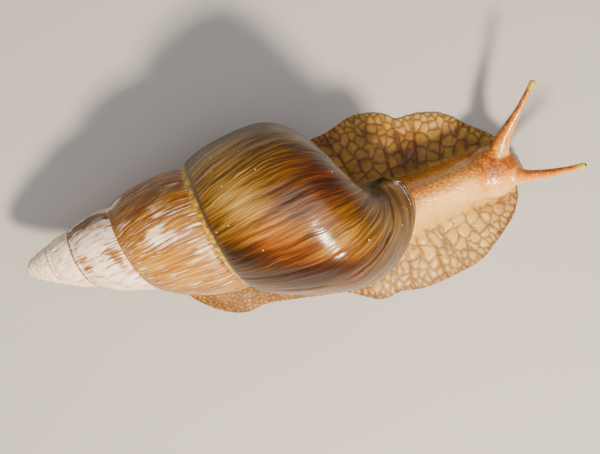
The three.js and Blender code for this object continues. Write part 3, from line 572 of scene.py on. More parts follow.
# %% The mantle collar
aperture = np.vstack([rows[0, :ROWS + 1], rows[STEPS, STRIP + 1:ROWS + 1][::-1]])
middle = np.array([123.0, 17.0])
order = np.arange(len(aperture))
to_columella = smoothly((order - STRIP - 5) / 9) * (order <= ROWS)
collar_lines = []
COLLAR = ((1.0, 0.955), (-1.0, 0.95), (-3.5, 0.93), (-6.5, 0.88), (-9.0, 0.76), (-10.6, 0.5))
for degrees, size in COLLAR:
    ring = middle + (aperture - middle) * (size - 0.05 * to_columella[:, None])
    ring[:, 1] = np.maximum(ring[:, 1], 0.6)
    collar_lines.append(beside_axis(ring[:, None], np.radians(degrees - 6 * to_columella))[:, 0])
count = len(aperture)
collar_faces = []
for k in range(len(collar_lines) - 1):
    for i in range(count):
        a, b = k * count, k * count + count
        collar_faces.append([a + i, b + i, b + (i + 1) % count, a + (i + 1) % count])
last = (len(COLLAR) - 1) * count
collar_faces += [list(range(count)), list(range(last + count - 1, last - 1, -1))]
mantle = mesh_object("mantle", np.vstack(collar_lines) * MM, collar_faces)
edit((bpy.ops.mesh.normals_make_consistent, {"inside": False}))
print("mantle:", len(mantle.data.vertices), "points")

# %% [markdown]
# ## The tentacles
# The two long tentacles are hollow stalks that taper from a wide base to a small knob with the eye
# in it. The lower pair feels the way. A stalk could be extruded ring by ring, but a curve with a
# round bevel, whose points each have their own radius, draws it in one go and bends smoothly. It
# is then made a mesh, and a small ball is set on its end.

# %% Tapering stalks from curves
TENTACLES = {  # along the body, to its left, up, and the radius there
    "left": [
        [139.8, 7.4, 18.6, 4.5], [141.7, 10.2, 21.2, 3.95], [144, 13.9, 24.3, 3.0],
        [146.5, 16.4, 26.5, 2.5], [151.3, 21, 30.3, 1.7], [154.7, 24.6, 33.2, 1.45],
        [157.6, 27.8, 36, 1.4], [158.9, 29.2, 37.1, 1.5],
    ],
    "right": [
        [142.6, -1.6, 17.2, 4.4], [146, -3.4, 20.2, 3.4], [148.2, -4.3, 22.4, 2.6],
        [151, -4.95, 24.6, 2.1], [155.2, -5.9, 27.6, 1.75], [161.5, -6.95, 32.3, 1.3],
        [165, -7.35, 35.1, 1.25], [166.95, -7.55, 36.5, 1.3],
    ],
    "lower_left": [
        [142.4, 6.4, 8.4, 1.9], [144.4, 8.6, 7.8, 1.35], [146.2, 10.6, 7.3, 1.1], [147, 11.5, 7.2, 1.15],
    ],
    "lower_right": [
        [143.8, -2.6, 8.4, 1.9], [146.2, -3.6, 7.8, 1.35], [148.8, -4.4, 7.3, 1.1], [150, -4.8, 7.2, 1.15],
    ],
}


def smooth_path(rows, count):
    """Points [t, n, z, radius] evenly along a smooth curve through the rows."""
    rows = np.array(rows, float)
    place = np.arange(len(rows), dtype=float)[:, None]
    at = np.linspace(0, len(rows) - 1, count)
    table = np.hstack([place, rows])
    return np.stack([read_at(table, at, k) for k in range(1, 5)], 1)


def stalk(name, rows, count=26):
    path = smooth_path(rows, count)
    places = from_body(path[:, 0], path[:, 1], path[:, 2]) * MM
    bpy.ops.object.select_all(action="DESELECT")
    bpy.ops.curve.primitive_nurbs_path_add(location=(0, 0, 0))
    obj = added(name)
    curve = obj.data
    curve.splines.clear()
    spline = curve.splines.new("POLY")
    spline.points.add(count - 1)
    for point, place, radius in zip(spline.points, places, path[:, 3]):
        point.co = (*place, 1)
        point.radius = radius
    curve.bevel_depth = MM
    curve.bevel_resolution = 6
    curve.use_fill_caps = True
    bpy.ops.object.convert(target="MESH")
    end = path[-1]
    knob = lump(name + "_knob", end[0], end[1], end[2], (end[3] * 1.04,) * 3)
    return [obj, knob]


stalks = sum((stalk("tentacle_" + name, rows_) for name, rows_ in TENTACLES.items()), [])
print("stalks:", len(stalks) // 2)

# %% [markdown]
# ## One skin
# The parts are joined, and a voxel remesh melts them into one closed surface with even faces. A
# boolean union would also join them, but it leaves creases and long thin faces where they meet.
# A few rounds of smoothing soften the whole, and many more the joint of head and neck.

# %% Join, remesh and smooth
VOXEL = 0.485
bpy.ops.object.select_all(action="DESELECT")
for obj in [foot, mantle, *lumps, *stalks]:
    obj.select_set(True)
bpy.context.view_layer.objects.active = foot
bpy.ops.object.join()
skin = added("skin")
apply(skin, "REMESH", mode="VOXEL", voxel_size=VOXEL * MM, use_smooth_shade=True)
apply(skin, "SMOOTH", factor=0.5, iterations=4)
place = points_of(skin) / MM
t, n = to_body(place)
z = place[:, 2]
blend = smoothly((t - 114) / 6) * smoothly((147 - t) / 4) * smoothly((z - 4) / 3) * smoothly((24 - z) / 4)
joint = skin.vertex_groups.new(name="joint")
for level in range(1, 11):
    joint.add(np.flatnonzero(np.round(blend * 10) == level).tolist(), level / 10, "REPLACE")
apply(skin, "SMOOTH", factor=0.5, iterations=90, vertex_group="joint")
print("skin:", len(skin.data.polygons), "faces after the remesh")

# %% [markdown]
# The flat sole and the flesh hidden against the shell need few faces, so they are thinned there
# and the faces are spent on what shows.

# %% Thin what does not show
place = points_of(skin) / MM
inside = np.zeros(len(place))
for k, point in enumerate(place):
    if point[2] < 0.35:
        inside[k] = 1
    elif shell_tree.ray_cast(Vector(point) * MM, Vector((0.02, 0.01, -1)))[0] is None:
        hit, normal, _, gap = shell_tree.find_nearest(Vector(point) * MM, 0.003)
        if hit is not None and (Vector(point) * MM - hit).dot(normal) < -0.00005:
            inside[k] = 1
hidden = skin.vertex_groups.new(name="hidden")
hidden.add(np.flatnonzero(inside).tolist(), 1.0, "REPLACE")
print("hidden points:", int(inside.sum()), "of", len(place))
share = inside.mean()
apply(skin, "DECIMATE", ratio=1 - 0.93 * share, vertex_group="hidden")
skin.vertex_groups.clear()
place = points_of(skin)
place[:, 2] = np.where(place[:, 2] < 0.3 * MM, 0, place[:, 2])
move_points(skin, place)
print("skin:", sum(len(p.vertices) - 2 for p in skin.data.polygons), "triangles")

# %% [markdown]
# ## Wrinkles
# A snail's skin is a net of grooves that carries its slime. On the side lobes the islands between
# them are large near the neck and small and drawn out at the margin; on the neck they are long
# beads in rows; on head and tail they are grains. A cell texture has cells of one size only, so
# points are scattered over the skin, as far from each other as the islands are wide there, and
# each island is what lies nearest to its own point.

# %% Where each kind of island lies
place = points_of(skin) / MM
t, n = to_body(place)
z = place[:, 2]
crest, half = read_at(RIDGE, t, 1), read_at(RIDGE, t, 2)
margin = np.where(n > crest, read_at(LEFT_MARGIN, t), read_at(RIGHT_MARGIN, t))
to_margin = np.abs(margin - n)
side = (n - crest) / half
outward_share = np.clip((np.abs(n - crest) - half) / (np.abs(margin - crest) - half + 0.01), 0, 1)
on_neck = smoothly((z - 7.5) / 5) * smoothly((t - 60) / 20)
on_head = smoothly((t - 126) / 6) * smoothly((z - 6) / 5)
on_tail = smoothly((66 - t) / 14)


def near_stalk(name):
    path = smooth_path(TENTACLES[name], 60)
    centre = from_body(path[:, 0], path[:, 1], path[:, 2])
    reach = np.full(len(place), 99.0)
    along = np.zeros(len(place))
    for k in range(len(path)):
        gap = np.linalg.norm(place - centre[k], axis=1) - path[k, 3]
        closer = gap < reach
        reach[closer], along[closer] = gap[closer], k / (len(path) - 1)
    return reach, along


on_stalk, along_stalk = np.zeros(len(place)), np.zeros(len(place))
for name in ("left", "right"):
    reach, along = near_stalk(name)
    held = smoothly((1.1 - reach) / 1.1) * smoothly((along - 0.03) / 0.1)
    along_stalk = np.where(held > on_stalk, along, along_stalk)
    on_stalk = np.maximum(on_stalk, held)

FOLD_SPACING = 5.2
fan = np.radians(np.clip((t - 98) * 0.9, -14, 38)) * (1 - on_tail)
column = t - np.tan(fan) * np.maximum(np.abs(n - crest) - half, 0)
fan_way = FORWARD[None] * np.sin(fan)[:, None] + LEFTWARD[None] * (np.sign(n) * np.cos(fan))[:, None]
lobe_way = np.hstack([fan_way, 0 * fan_way[:, :1]])
neck_way = np.array([*FORWARD, 0])[None] + 0 * place
grain_way = np.where((on_neck > 0.5)[:, None], neck_way, lobe_way)
lobe_size = lerp(5.0, 2.3, smoothly((outward_share - 0.25) / 0.7))
size = lerp(lobe_size, 1.15, on_neck)
size = lerp(size, 0.9, on_head)
size = lerp(size, 1.5, on_tail)
size = lerp(size, 0.9, on_stalk)
stretch = lerp(1.15, 1.5, outward_share)
stretch = lerp(stretch, 1.0, on_tail)
stretch = lerp(stretch, 1.8, on_neck * (1 - on_head))
print("island widths:", round(float(size.min()), 2), "to", round(float(size.max()), 2), "mm")


# %% [markdown]
# ### Islands and grooves
# A groove lies where two islands' points are equally near. Distance is measured shorter along the
# grain of the skin than across it, which draws the islands out. On the lobes the islands are also
# shifted into columns, because the folds of a crawling foot run from the neck to the margin.

# %% Scatter the islands and find the grooves between them
def lengths_to(seeds, points, grain, long):
    """Distances from each point to each seed; what runs along the point's grain counts short."""
    square = (points ** 2).sum(1)[:, None] + (seeds ** 2).sum(1)[None] - 2 * points @ seeds.T
    run = grain @ seeds.T - (grain * points).sum(1)[:, None]
    return np.sqrt(np.maximum(square - run ** 2 * (1 - 1 / long[:, None] ** 2), 0))


def scatter(points, width, grain, long, seed, tries=16000):
    """Picks points that stand at least one island apart, measured longer along the grain."""
    picked = []
    chosen = np.zeros((tries, 3))
    for k in np.random.RandomState(seed).permutation(len(points))[:tries]:
        one, count = slice(k, k + 1), len(picked)
        if count:
            nearest = lengths_to(chosen[:count], points[one], grain[one], long[one]).min()
            if nearest < 0.82 * width[k]:
                continue
        chosen[count] = points[k]
        picked.append(k)
    return np.array(picked)


def net(width, long, seed):
    """Lays a net of islands over the skin: distance to the nearest groove, and each island's tone."""
    shown = np.flatnonzero(z > 0.4)
    warp = np.stack([noise(t / 2.6 + 9 * k, n / 2.6 + z / 3 + 40, seed + k) for k in range(3)], 1) - 0.5
    bent = place + warp * width[:, None] * 0.45
    picked = shown[scatter(bent[shown], width[shown], grain_way[shown], long[shown], seed)]
    seeds = bent[picked] + to_column(picked, width)
    gap, tone = np.full(len(place), 9.0), np.full(len(place), 0.5)
    tones = np.random.RandomState(seed).rand(len(seeds))
    for some in np.array_split(shown, 1 + len(shown) // 2000):
        distance = lengths_to(seeds, bent[some], grain_way[some], long[some])
        nearest = np.argpartition(distance, 1, axis=1)[:, :2]
        two = np.take_along_axis(distance, nearest, axis=1)
        gap[some] = np.abs(two[:, 1] - two[:, 0]) / 2
        tone[some] = tones[nearest[np.arange(len(some)), two.argmin(1)]]
    print("islands:", len(seeds))
    return gap, tone


def to_column(picked, width):
    """How far to shift each lobe island along the body, so that islands stand in radial columns."""
    spacing = np.where(width[picked] > 3.5, FOLD_SPACING, FOLD_SPACING / 2)
    along = column[picked]
    shift = (np.floor(along / spacing) + 0.5) * spacing - along
    shift *= 0.75 * ((1 - on_neck) * (1 - on_tail))[picked]
    return shift[:, None] * np.array([*FORWARD, 0])[None]


def pillow(gap, reach):
    """Height of a rounded island over the groove round it: 0 in the groove, 1 in the middle."""
    return np.sqrt(1 - (1 - np.clip(gap / reach, 0, 1)) ** 2)


gap, island_tone = net(size, stretch, 5)

# %% [markdown]
# ### Pressed into the skin
# Each island is a small pillow: the mesh is pressed in along its normals, deepest in the grooves.
# A bump map would leave the outline smooth, and here the margin shows every groove. Wide folds
# run over the islands of the lobes, and the flat sole is left alone.

# %% Cut the wrinkles into the skin
away = np.abs(n - crest) - half
lobe_part = (1 - on_neck) * (1 - on_tail)
near_neck = np.maximum(smoothly(away / 5 + 0.2) + 0.35 * (n > crest), on_tail)
relief = lerp(0.55 * np.minimum(near_neck, 1), 0.2, on_tail)
rough_neck = np.maximum(smoothly((side + 0.6) / 0.6), smoothly((18 - z) / 7))
relief = lerp(relief, lerp(0.06, 0.17, rough_neck), on_neck)
relief = lerp(relief, 0.17, on_head)
relief = lerp(relief, 0.07, on_stalk)
press = relief * (1 - pillow(gap, 0.42 * size))
meander = 1.6 * (noise(n / 5 + 20, t / 12, 61) - 0.5)
folds_along = (column + meander) / FOLD_SPACING
fold_gap = np.abs(folds_along - np.round(folds_along)) * FOLD_SPACING
fold_share = smoothly(noise(column / FOLD_SPACING + 7, n / 9, 62) * 2.4 - 0.35)
fold_share *= lobe_part * np.minimum(near_neck, 1)
press += 0.7 * fold_share * (1 - pillow(fold_gap, 1.3))
press *= smoothly(z / 1.2)
moved = points_of(skin) - normals_of(skin) * press[:, None] * MM
low_corner, high_corner = np.array(cad_box[0]), np.array(cad_box[1])
moved = np.clip(moved, low_corner + 0.02 * MM, high_corner - 0.02 * MM)
moved[:, 2] = np.where(z < 0.3, 0, moved[:, 2])
move_points(skin, moved)
skin.data.shade_smooth()
print("deepest wrinkle:", round(float(press.max()), 2), "mm")

# %% [markdown]
# ### Where the skin's pigment and painted shade lie
# The pigment is strongest on the neck's left side, on the head, the tentacles, the tail and along
# the margin, and the skin is pale cream on the right side and round the tentacles' feet. Some of
# the darkening is painted shade on the sides away from the key light: the neck's far left edge,
# the left lobe beside the neck and the far side of each tentacle. Each kind of mark is one smooth
# value on the mesh's points, worked out from where the point is.

# %% Pigment and painted shade values
facing = normals_of(skin)
patch = noise(t / 9 + 30, n / 9 + 30, 51)
speck = noise(t / 2.2 + 50, n / 2.2 + 50, 52)
rim_band = smoothly((5.5 - to_margin) / 5) * (1 - on_neck)
on_lobe = 0.42 + 0.25 * patch + 0.3 * smoothly((100 - t) / 30)
# The neck's own orange rises towards its left side; the extra brown on its far left edge is painted shade.
neck_pigment_and_shade = lerp(0.05, 0.48, smoothly((side + 0.6) / 0.95)) + 0.12 * smoothly((side - 0.45) / 0.4)
orange_and_shade = lerp(on_lobe, neck_pigment_and_shade, on_neck)
head_pigment = 0.15 + 0.7 * smoothly((side + 0.85) / 0.7) * smoothly((z - 6) / 6)
head_pigment += 0.22 * smoothly((t - 138) / 6) * smoothly((n + 3) / 4)
orange_and_shade = lerp(orange_and_shade, head_pigment, on_head)
orange_and_shade = np.maximum(orange_and_shade, (0.85 - 0.25 * (n > crest)) * rim_band)
orange_and_shade = np.maximum(orange_and_shade, 0.75 * on_tail)
# The left lobe is browner than the right: partly its own colour, partly painted shade of the side away
# from the key light, darkest towards the neck.
left_lobe = smoothly((side - 0.7) / 0.5) * (1 - on_head) * smoothly((14 - z) / 5)
left_lobe_pigment_and_shade = (0.66 + 0.3 * patch) * lerp(0.62, 1, smoothly((to_margin - 2) / 9))
orange_and_shade = np.maximum(orange_and_shade, left_lobe * left_lobe_pigment_and_shade)
orange_and_shade += 0.22 * smoothly((t - 124) / 14) * (n < crest) * (1 - on_neck)
# Each tentacle gets more pigment on the side that faces away from the key light: painted shade. The pale
# flare at its foot is its own colour.
stalk_far_side_shade = facing @ np.array([-0.62, 0.6, 0.2])
flare = np.exp(-((along_stalk - 0.14) / 0.12) ** 2)
stalk_pigment_and_shade = np.clip(0.6 + 0.45 * stalk_far_side_shade + 0.1 * along_stalk - 0.26 * flare, 0.05, 1)
orange_and_shade = lerp(orange_and_shade, stalk_pigment_and_shade, on_stalk)
orange_and_shade = np.clip(orange_and_shade + 0.2 * (speck - 0.5) + 0.16 * (island_tone - 0.5), 0, 1)
mauve = on_neck * np.exp(-((side - 0.12) / 0.3) ** 2) * smoothly((122 - t) / 30) * (1 - on_head)
# A dark greenish brown on the left lobe next to the neck is painted shadow of the neck and shell.
shade_beside_neck = left_lobe * smoothly((9 - away) / 9)
tip_yellow = on_stalk * smoothly((along_stalk - 0.78) / 0.16)
groove_line = np.exp(-(gap / lerp(0.4, 0.26, on_neck)) ** 2) * lerp(np.minimum(near_neck, 1), 0.8, on_neck)
groove_line = np.maximum(groove_line, fold_share * np.exp(-(fold_gap / 0.5) ** 2))
groove_line *= 1 - on_neck * lerp(0.35, 0.9, smoothly((0.1 - side) / 0.4) * smoothly((z - 10) / 5))
SOIL_SPECK = np.array([82.1, 41.65, 29.0]) + ZERO
soil = np.linalg.norm(place - SOIL_SPECK, axis=1)
groove_line = np.maximum(groove_line, 1.15 * np.exp(-(soil / 0.9) ** 4))
wet = np.maximum(on_neck, on_stalk)
PIGMENT_AND_SHADE_VALUES = {"groove": groove_line, "orange_and_shade": orange_and_shade, "mauve": mauve, "painted_shade_beside_neck": shade_beside_neck,
            "tip_yellow": tip_yellow, "neck": wet}
for name, values in PIGMENT_AND_SHADE_VALUES.items():
    write_attribute(skin, name, values)
print("mean pigment:", round(float(orange_and_shade.mean()), 2))

# %% [markdown]
# ## The eyes
# Each long tentacle ends in a knob with a small dark eye set in it. The eye could be a dark dot
# painted on the skin, but a real one is a clear, glossy bead. So it is a ball of its own, sunk in
# the knob, and an ico sphere is even all round where a globe would pinch at its poles.

# %% Beads for the eyes
def eye_bead(side_name):
    lowest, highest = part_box("eye_" + side_name)
    centre = (lowest + highest) / 2
    radius = (highest.z - lowest.z) / 2
    bpy.ops.object.select_all(action="DESELECT")
    bpy.ops.mesh.primitive_ico_sphere_add(subdivisions=3, radius=radius * 0.98, location=(0, 0, 0))
    bead = added("eye_bead_" + side_name)
    edit((bpy.ops.transform.translate, {"value": tuple(centre)}))
    bead.data.shade_smooth()
    return bead


beads = [eye_bead("left"), eye_bead("right")]
print("eyes:", [tuple(round(c / MM, 1) for c in points_of(b).mean(0)) for b in beads])


# %% [markdown]
# ## Materials
# A material is a small network of nodes. One function turns a hex colour into the linear values
# that nodes need, and one adds a node with its settings and links.

# %% Node helpers
def hex_colour(code):
    channels = [int(code[k:k + 2], 16) / 255 for k in (1, 3, 5)]
    return (*[c / 12.92 if c <= 0.04045 else ((c + 0.055) / 1.055) ** 2.4 for c in channels], 1)


def new_material(name):
    material = bpy.data.materials.new(name)
    material.use_nodes = True
    nodes = material.node_tree.nodes
    return material, nodes, nodes["Principled BSDF"]


def add(nodes, kind, inputs=None, ramp=None, **settings):
    """Adds a node; a setting is a property, an input is a value or another node's output."""
    node = nodes.new(kind)
    for name, value in settings.items():
        setattr(node, name, value)
    for name, value in (inputs or {}).items():
        if isinstance(value, bpy.types.NodeSocket):
            node.id_data.links.new(value, node.inputs[name])
        else:
            node.inputs[name].default_value = value
    if ramp:
        stops = node.color_ramp.elements
        while len(stops) < len(ramp):
            stops.new(0.5)
        for stop, (position, colour) in zip(stops, ramp):
            stop.position = position
            stop.color = colour if isinstance(colour, tuple) else hex_colour(colour)
    return node


def maths(nodes, operation, a, b=0.0, c=0.0):
    return add(nodes, "ShaderNodeMath", {0: a, 1: b, 2: c}, operation=operation).outputs[0]


def value_of(nodes, name):
    """One of the values written on the mesh's points."""
    return add(nodes, "ShaderNodeAttribute", attribute_name=name).outputs["Fac"]


def mixed(nodes, share, a, b):
    return add(nodes, "ShaderNodeMix", {0: share, 6: a, 7: b}, data_type="RGBA").outputs[2]


def band(nodes, value, low, high):
    """Rises smoothly from 0 to 1 as the value goes from low to high."""
    inputs = {"Value": value, "From Min": low, "From Max": high}
    return add(nodes, "ShaderNodeMapRange", inputs, interpolation_type="SMOOTHSTEP").outputs[0]


def pattern(nodes, turns_, across_, scale, detail=3.0, shift=0.0, roughness=0.55):
    """Noise drawn out along the growth lines: scale = (marks in a turn, marks across a whorl)."""
    place_ = add(nodes, "ShaderNodeCombineXYZ", {
        0: maths(nodes, "MULTIPLY", turns_, scale[0]),
        1: maths(nodes, "MULTIPLY", across_, scale[1]),
        2: shift,
    })
    return add(nodes, "ShaderNodeTexNoise", {
        "Vector": place_.outputs[0], "Scale": 1.0, "Detail": detail, "Roughness": roughness,
    }).outputs[0]


# %% [markdown]
# ### The shell: aragonite under a horny brown layer
# The shell is chalky aragonite, laid down white, and covered by a thin horny layer that is brown,
# glossy and streaked along the growth lines. On the young whorls it is whole. On the old ones it
# has worn away in patches and shows the dull, pinkish-white chalk. A streak texture laid over the
# shell from outside would run straight on across the whorls. So the pattern reads the shell's own
# UV map, which turns with the spiral, and a few soft spots set where it is darker or worn bare.

# %% Where the horny layer is darker or redder
def spots(table):
    """Sums soft spots, each given as turns back, place across, their radii, and an amount."""
    total = np.zeros_like(across)
    for at_turn, at_across, reach, reach_across, amount in table:
        away_ = ((turns - at_turn) / reach) ** 2 + ((across - at_across) / reach_across) ** 2
        total += amount * np.exp(-away_)
    return total


shade = spots([
    (0.375, 0.42, 0.035, 0.2, 0.8), (0.31, 0.5, 0.03, 0.3, 0.35), (0.25, 1.05, 0.035, 0.3, 0.9),
    (0.47, 0.35, 0.06, 0.5, 0.6), (0.39, 1.2, 0.05, 0.25, -0.55), (0.225, 0.65, 0.045, 0.6, -1.1),
    (0.28, 0.2, 0.03, 0.2, -0.7), (0.62, 0.6, 0.08, 1.2, -0.9), (0.05, 1.0, 0.06, 1.2, -0.4),
    (0.34, 0.85, 0.03, 0.2, -0.2), (1.27, 0.5, 0.07, 0.6, 0.5), (1.52, 0.5, 0.1, 0.9, -0.5),
    (2.51, 0.5, 0.07, 0.9, -0.9), (3.5, 0.5, 0.12, 0.9, -1.0),
])
russet = spots([
    (0.39, 1.2, 0.06, 0.3, 0.9), (0.3, 0.55, 0.045, 0.3, 0.7), (0.22, 0.7, 0.05, 0.5, 0.6),
    (0.01, 1.3, 0.02, 1.0, 0.6),
])
bare = spots([
    (1.531, 0.09, 0.012, 0.09, 1.0), (1.36, 0.55, 0.03, 0.2, 0.16), (1.42, 0.85, 0.04, 0.2, 0.1),
    (1.48, 0.5, 0.05, 0.6, -0.16), (1.27, 0.6, 0.04, 0.4, -0.08),
    (2.51, 0.5, 0.045, 0.6, -0.3), (2.33, 0.85, 0.03, 0.12, -0.25), (3.45, 0.6, 0.05, 0.5, -0.2),
])
for name, values in (("shade", shade), ("russet", np.clip(russet, 0, 1)), ("bare", bare)):
    write_attribute(shell, name, np.concatenate([values[used], np.zeros(len(all_points) - used.sum())]))

# %% [markdown]
# The node tree is built from the inside out: streaks of four widths make one tone, the tone picks
# a brown, gold lies along the suture and red-brown on the lip, and the chalk shows where the wear
# is high. Worn places are also duller, and the finest lines are left to a bump.

# %% Shell material
shell_paint, nodes, surface = new_material("horny_layer_over_aragonite")
growth_map = add(nodes, "ShaderNodeUVMap", uv_map="growth")
split = add(nodes, "ShaderNodeSeparateXYZ", {0: growth_map.outputs[0]})
T0, V = split.outputs[0], split.outputs[1]
wander = pattern(nodes, T0, V, (30, 3.5), 2, 31.0)
lean = maths(nodes, "SINE", maths(nodes, "MULTIPLY", maths(nodes, "MINIMUM", V, 1.4), 1.122))
lean = maths(nodes, "MULTIPLY", lean, band(nodes, T0, 0.0, 0.3))
T = maths(nodes, "MULTIPLY_ADD", lean, -SLANT, T0)
T = maths(nodes, "MULTIPLY_ADD", maths(nodes, "SUBTRACT", wander, 0.5), 0.011, T)
bands = pattern(nodes, T, V, (24, 0.8), 2)
streaks = pattern(nodes, T, V, (62, 1.1), 3, 4.0)
fine_lines = pattern(nodes, T, V, (150, 1.7), 3, 6.0)
hairs = pattern(nodes, T, V, (380, 2.2), 2, 9.0)
tone = maths(nodes, "MULTIPLY_ADD", bands, 0.4, maths(nodes, "MULTIPLY", streaks, 0.5))
tone = maths(nodes, "MULTIPLY_ADD", fine_lines, 0.75, tone)
tone = maths(nodes, "MULTIPLY_ADD", hairs, 0.6, tone)
tone = maths(nodes, "MULTIPLY_ADD", value_of(nodes, "shade"), 0.36, tone)
tone = band(nodes, tone, 0.665, 1.685)
olive_horn = add(nodes, "ShaderNodeValToRGB", {0: tone}, ramp=[
    (0.0, "#1d1203"), (0.25, "#382406"), (0.5, "#603e08"), (0.75, "#8f6a26"), (1.0, "#b89156"),
]).outputs[0]
russet_horn = add(nodes, "ShaderNodeValToRGB", {0: tone}, ramp=[
    (0.0, "#2a0f03"), (0.25, "#481b04"), (0.5, "#783708"), (0.75, "#925818"), (1.0, "#b07c44"),
]).outputs[0]
horn = mixed(nodes, value_of(nodes, "russet"), olive_horn, russet_horn)
columella = band(nodes, V, 1.5, 1.95)
horn = mixed(nodes, maths(nodes, "MULTIPLY", columella, 0.5), horn, hex_colour("#40301a"))
knobby = band(nodes, pattern(nodes, T0, V, (150, 8), 2, 40.0), 0.35, 0.6)
thread_near = maths(nodes, "SUBTRACT", 1.0, band(nodes, V, 0.034, 0.075))
beside = maths(nodes, "SUBTRACT", 1.0, band(nodes, V, 0.085, 0.125))
horn = mixed(nodes, maths(nodes, "MULTIPLY", beside, 0.7), horn, hex_colour("#38240a"))
gold = mixed(nodes, knobby, hex_colour("#7a5816"), hex_colour("#cfa43c"))
horn = mixed(nodes, maths(nodes, "MULTIPLY", thread_near, 0.9), horn, gold)
rim_line = maths(nodes, "SUBTRACT", 1.0, band(nodes, maths(nodes, "ABSOLUTE", maths(
    nodes, "SUBTRACT", T0, 0.0215)), 0.0009, 0.0019))
horn = mixed(nodes, maths(nodes, "MULTIPLY", rim_line, 0.75), horn, hex_colour("#c9a066"))
rim = maths(nodes, "SUBTRACT", 1.0, band(nodes, T0, 0.001, 0.009))
rim_colour = mixed(nodes, band(nodes, V, 1.38, 1.48), hex_colour("#86502a"), hex_colour("#3a2a14"))
horn = mixed(nodes, maths(nodes, "MULTIPLY", rim, 0.85), horn, rim_colour)
ochre = add(nodes, "ShaderNodeValToRGB", {0: tone}, ramp=[
    (0.0, "#4a270a"), (0.3, "#7c4a0c"), (0.6, "#a26a14"), (1.0, "#c29434"),
]).outputs[0]
pale_streaks = band(nodes, pattern(nodes, T, V, (210, 3.0), 3, 50.0), 0.54, 0.68)
patch_noise = band(nodes, pattern(nodes, T, V, (16, 2.6), 3, 54.0), 0.35, 0.7)
ochre = mixed(nodes, maths(nodes, "MULTIPLY", pale_streaks, maths(
    nodes, "MULTIPLY_ADD", patch_noise, 0.5, 0.3)), ochre, hex_colour("#e6cda6"))
old = band(nodes, T0, 0.92, 1.05)
horn = mixed(nodes, old, horn, ochre)
chalk = add(nodes, "ShaderNodeValToRGB", {0: pattern(nodes, T, V, (60, 3), 3, 14.0)}, ramp=[
    (0.3, "#cf9c7c"), (0.45, "#f2d2ae"), (0.62, "#fff0da"),
]).outputs[0]
patches = pattern(nodes, T, V, (18, 3.0), 4, 20.0)
scratches = pattern(nodes, T, V, (170, 2.4), 2, 24.0)
worn_share = add(nodes, "ShaderNodeValToRGB", {0: maths(nodes, "DIVIDE", T0, 7.0)}, ramp=[
    (0.14, (0.0, 0, 0, 1)), (0.165, (0.38, 0.38, 0.38, 1)), (0.225, (0.38, 0.38, 0.38, 1)),
    (0.29, (0.55, 0.55, 0.55, 1)), (0.36, (0.62, 0.62, 0.62, 1)), (0.44, (0.85, 0.85, 0.85, 1)),
]).outputs[0]
wear = maths(nodes, "MULTIPLY_ADD", patches, 0.5, maths(nodes, "MULTIPLY", scratches, 0.8))
wear = maths(nodes, "ADD", maths(nodes, "ADD", wear, worn_share), value_of(nodes, "bare"))
wear = band(nodes, wear, 1.08, 1.24)
colour = mixed(nodes, wear, horn, chalk)
old_suture = maths(nodes, "MULTIPLY", thread_near, band(nodes, T0, 1.85, 2.05))
old_suture = maths(nodes, "MULTIPLY", old_suture, maths(nodes, "MULTIPLY_ADD", knobby, -0.35, 1.0))
colour = mixed(nodes, old_suture, colour, hex_colour("#6e3c18"))
# Tiny pale specks spread over the whorls are painted glints of light.
painted_glints = add(nodes, "ShaderNodeCombineXYZ", {
    0: maths(nodes, "MULTIPLY", T0, 34.0), 1: maths(nodes, "MULTIPLY", V, 8.0), 2: 0.0,
})
painted_glints = add(nodes, "ShaderNodeTexVoronoi", {"Vector": painted_glints.outputs[0], "Scale": 1.0}).outputs["Distance"]
painted_glints = maths(nodes, "SUBTRACT", 1.0, band(nodes, painted_glints, 0.045, 0.06))
colour = mixed(nodes, maths(nodes, "MULTIPLY", painted_glints, 0.8), colour, hex_colour("#efe0c4"))
rough = maths(nodes, "MULTIPLY_ADD", wear, 0.3, 0.14)
rough = maths(nodes, "MULTIPLY_ADD", old, 0.16, rough)
rough = maths(nodes, "MULTIPLY_ADD", fine_lines, 0.14, rough)
links = shell_paint.node_tree.links
links.new(colour, surface.inputs["Base Color"])
links.new(rough, surface.inputs["Roughness"])
surface.inputs["IOR"].default_value = 1.5
shell_height = maths(nodes, "MULTIPLY_ADD", hairs, 0.5, fine_lines)
bump = add(nodes, "ShaderNodeBump", {"Height": shell_height, "Strength": 0.6, "Distance": 0.0004})
links.new(bump.outputs[0], surface.inputs["Normal"])
shell.data.materials.append(shell_paint)
print("shell material nodes:", len(nodes))

# %% [markdown]
# ### The skin: wet, thin and slightly see-through
# Slime makes the skin glossy over a soft, milky body, so light sinks in a little before it comes
# back, and the neck and tentacles are the wettest. The grooves hold brown pigment and the islands
# between them are pale. The marks come from the values on the mesh's points, as no texture knows
# where a neck or a margin is, and noise and tiny beads only roughen them.

# %% Skin material
skin_paint, nodes, surface = new_material("wet_mollusc_skin")
place_node = add(nodes, "ShaderNodeTexCoord").outputs["Object"]
grain = add(nodes, "ShaderNodeTexNoise", {"Vector": place_node, "Scale": 900.0, "Detail": 3.0}).outputs[0]
tiny_beads = add(nodes, "ShaderNodeTexVoronoi", {"Vector": place_node, "Scale": 820.0}).outputs["Distance"]
tiny_beads = maths(nodes, "MULTIPLY", maths(nodes, "SUBTRACT", 0.5, tiny_beads), value_of(nodes, "neck"))
blotch = add(nodes, "ShaderNodeTexNoise", {"Vector": place_node, "Scale": 160.0, "Detail": 2.0}).outputs[0]
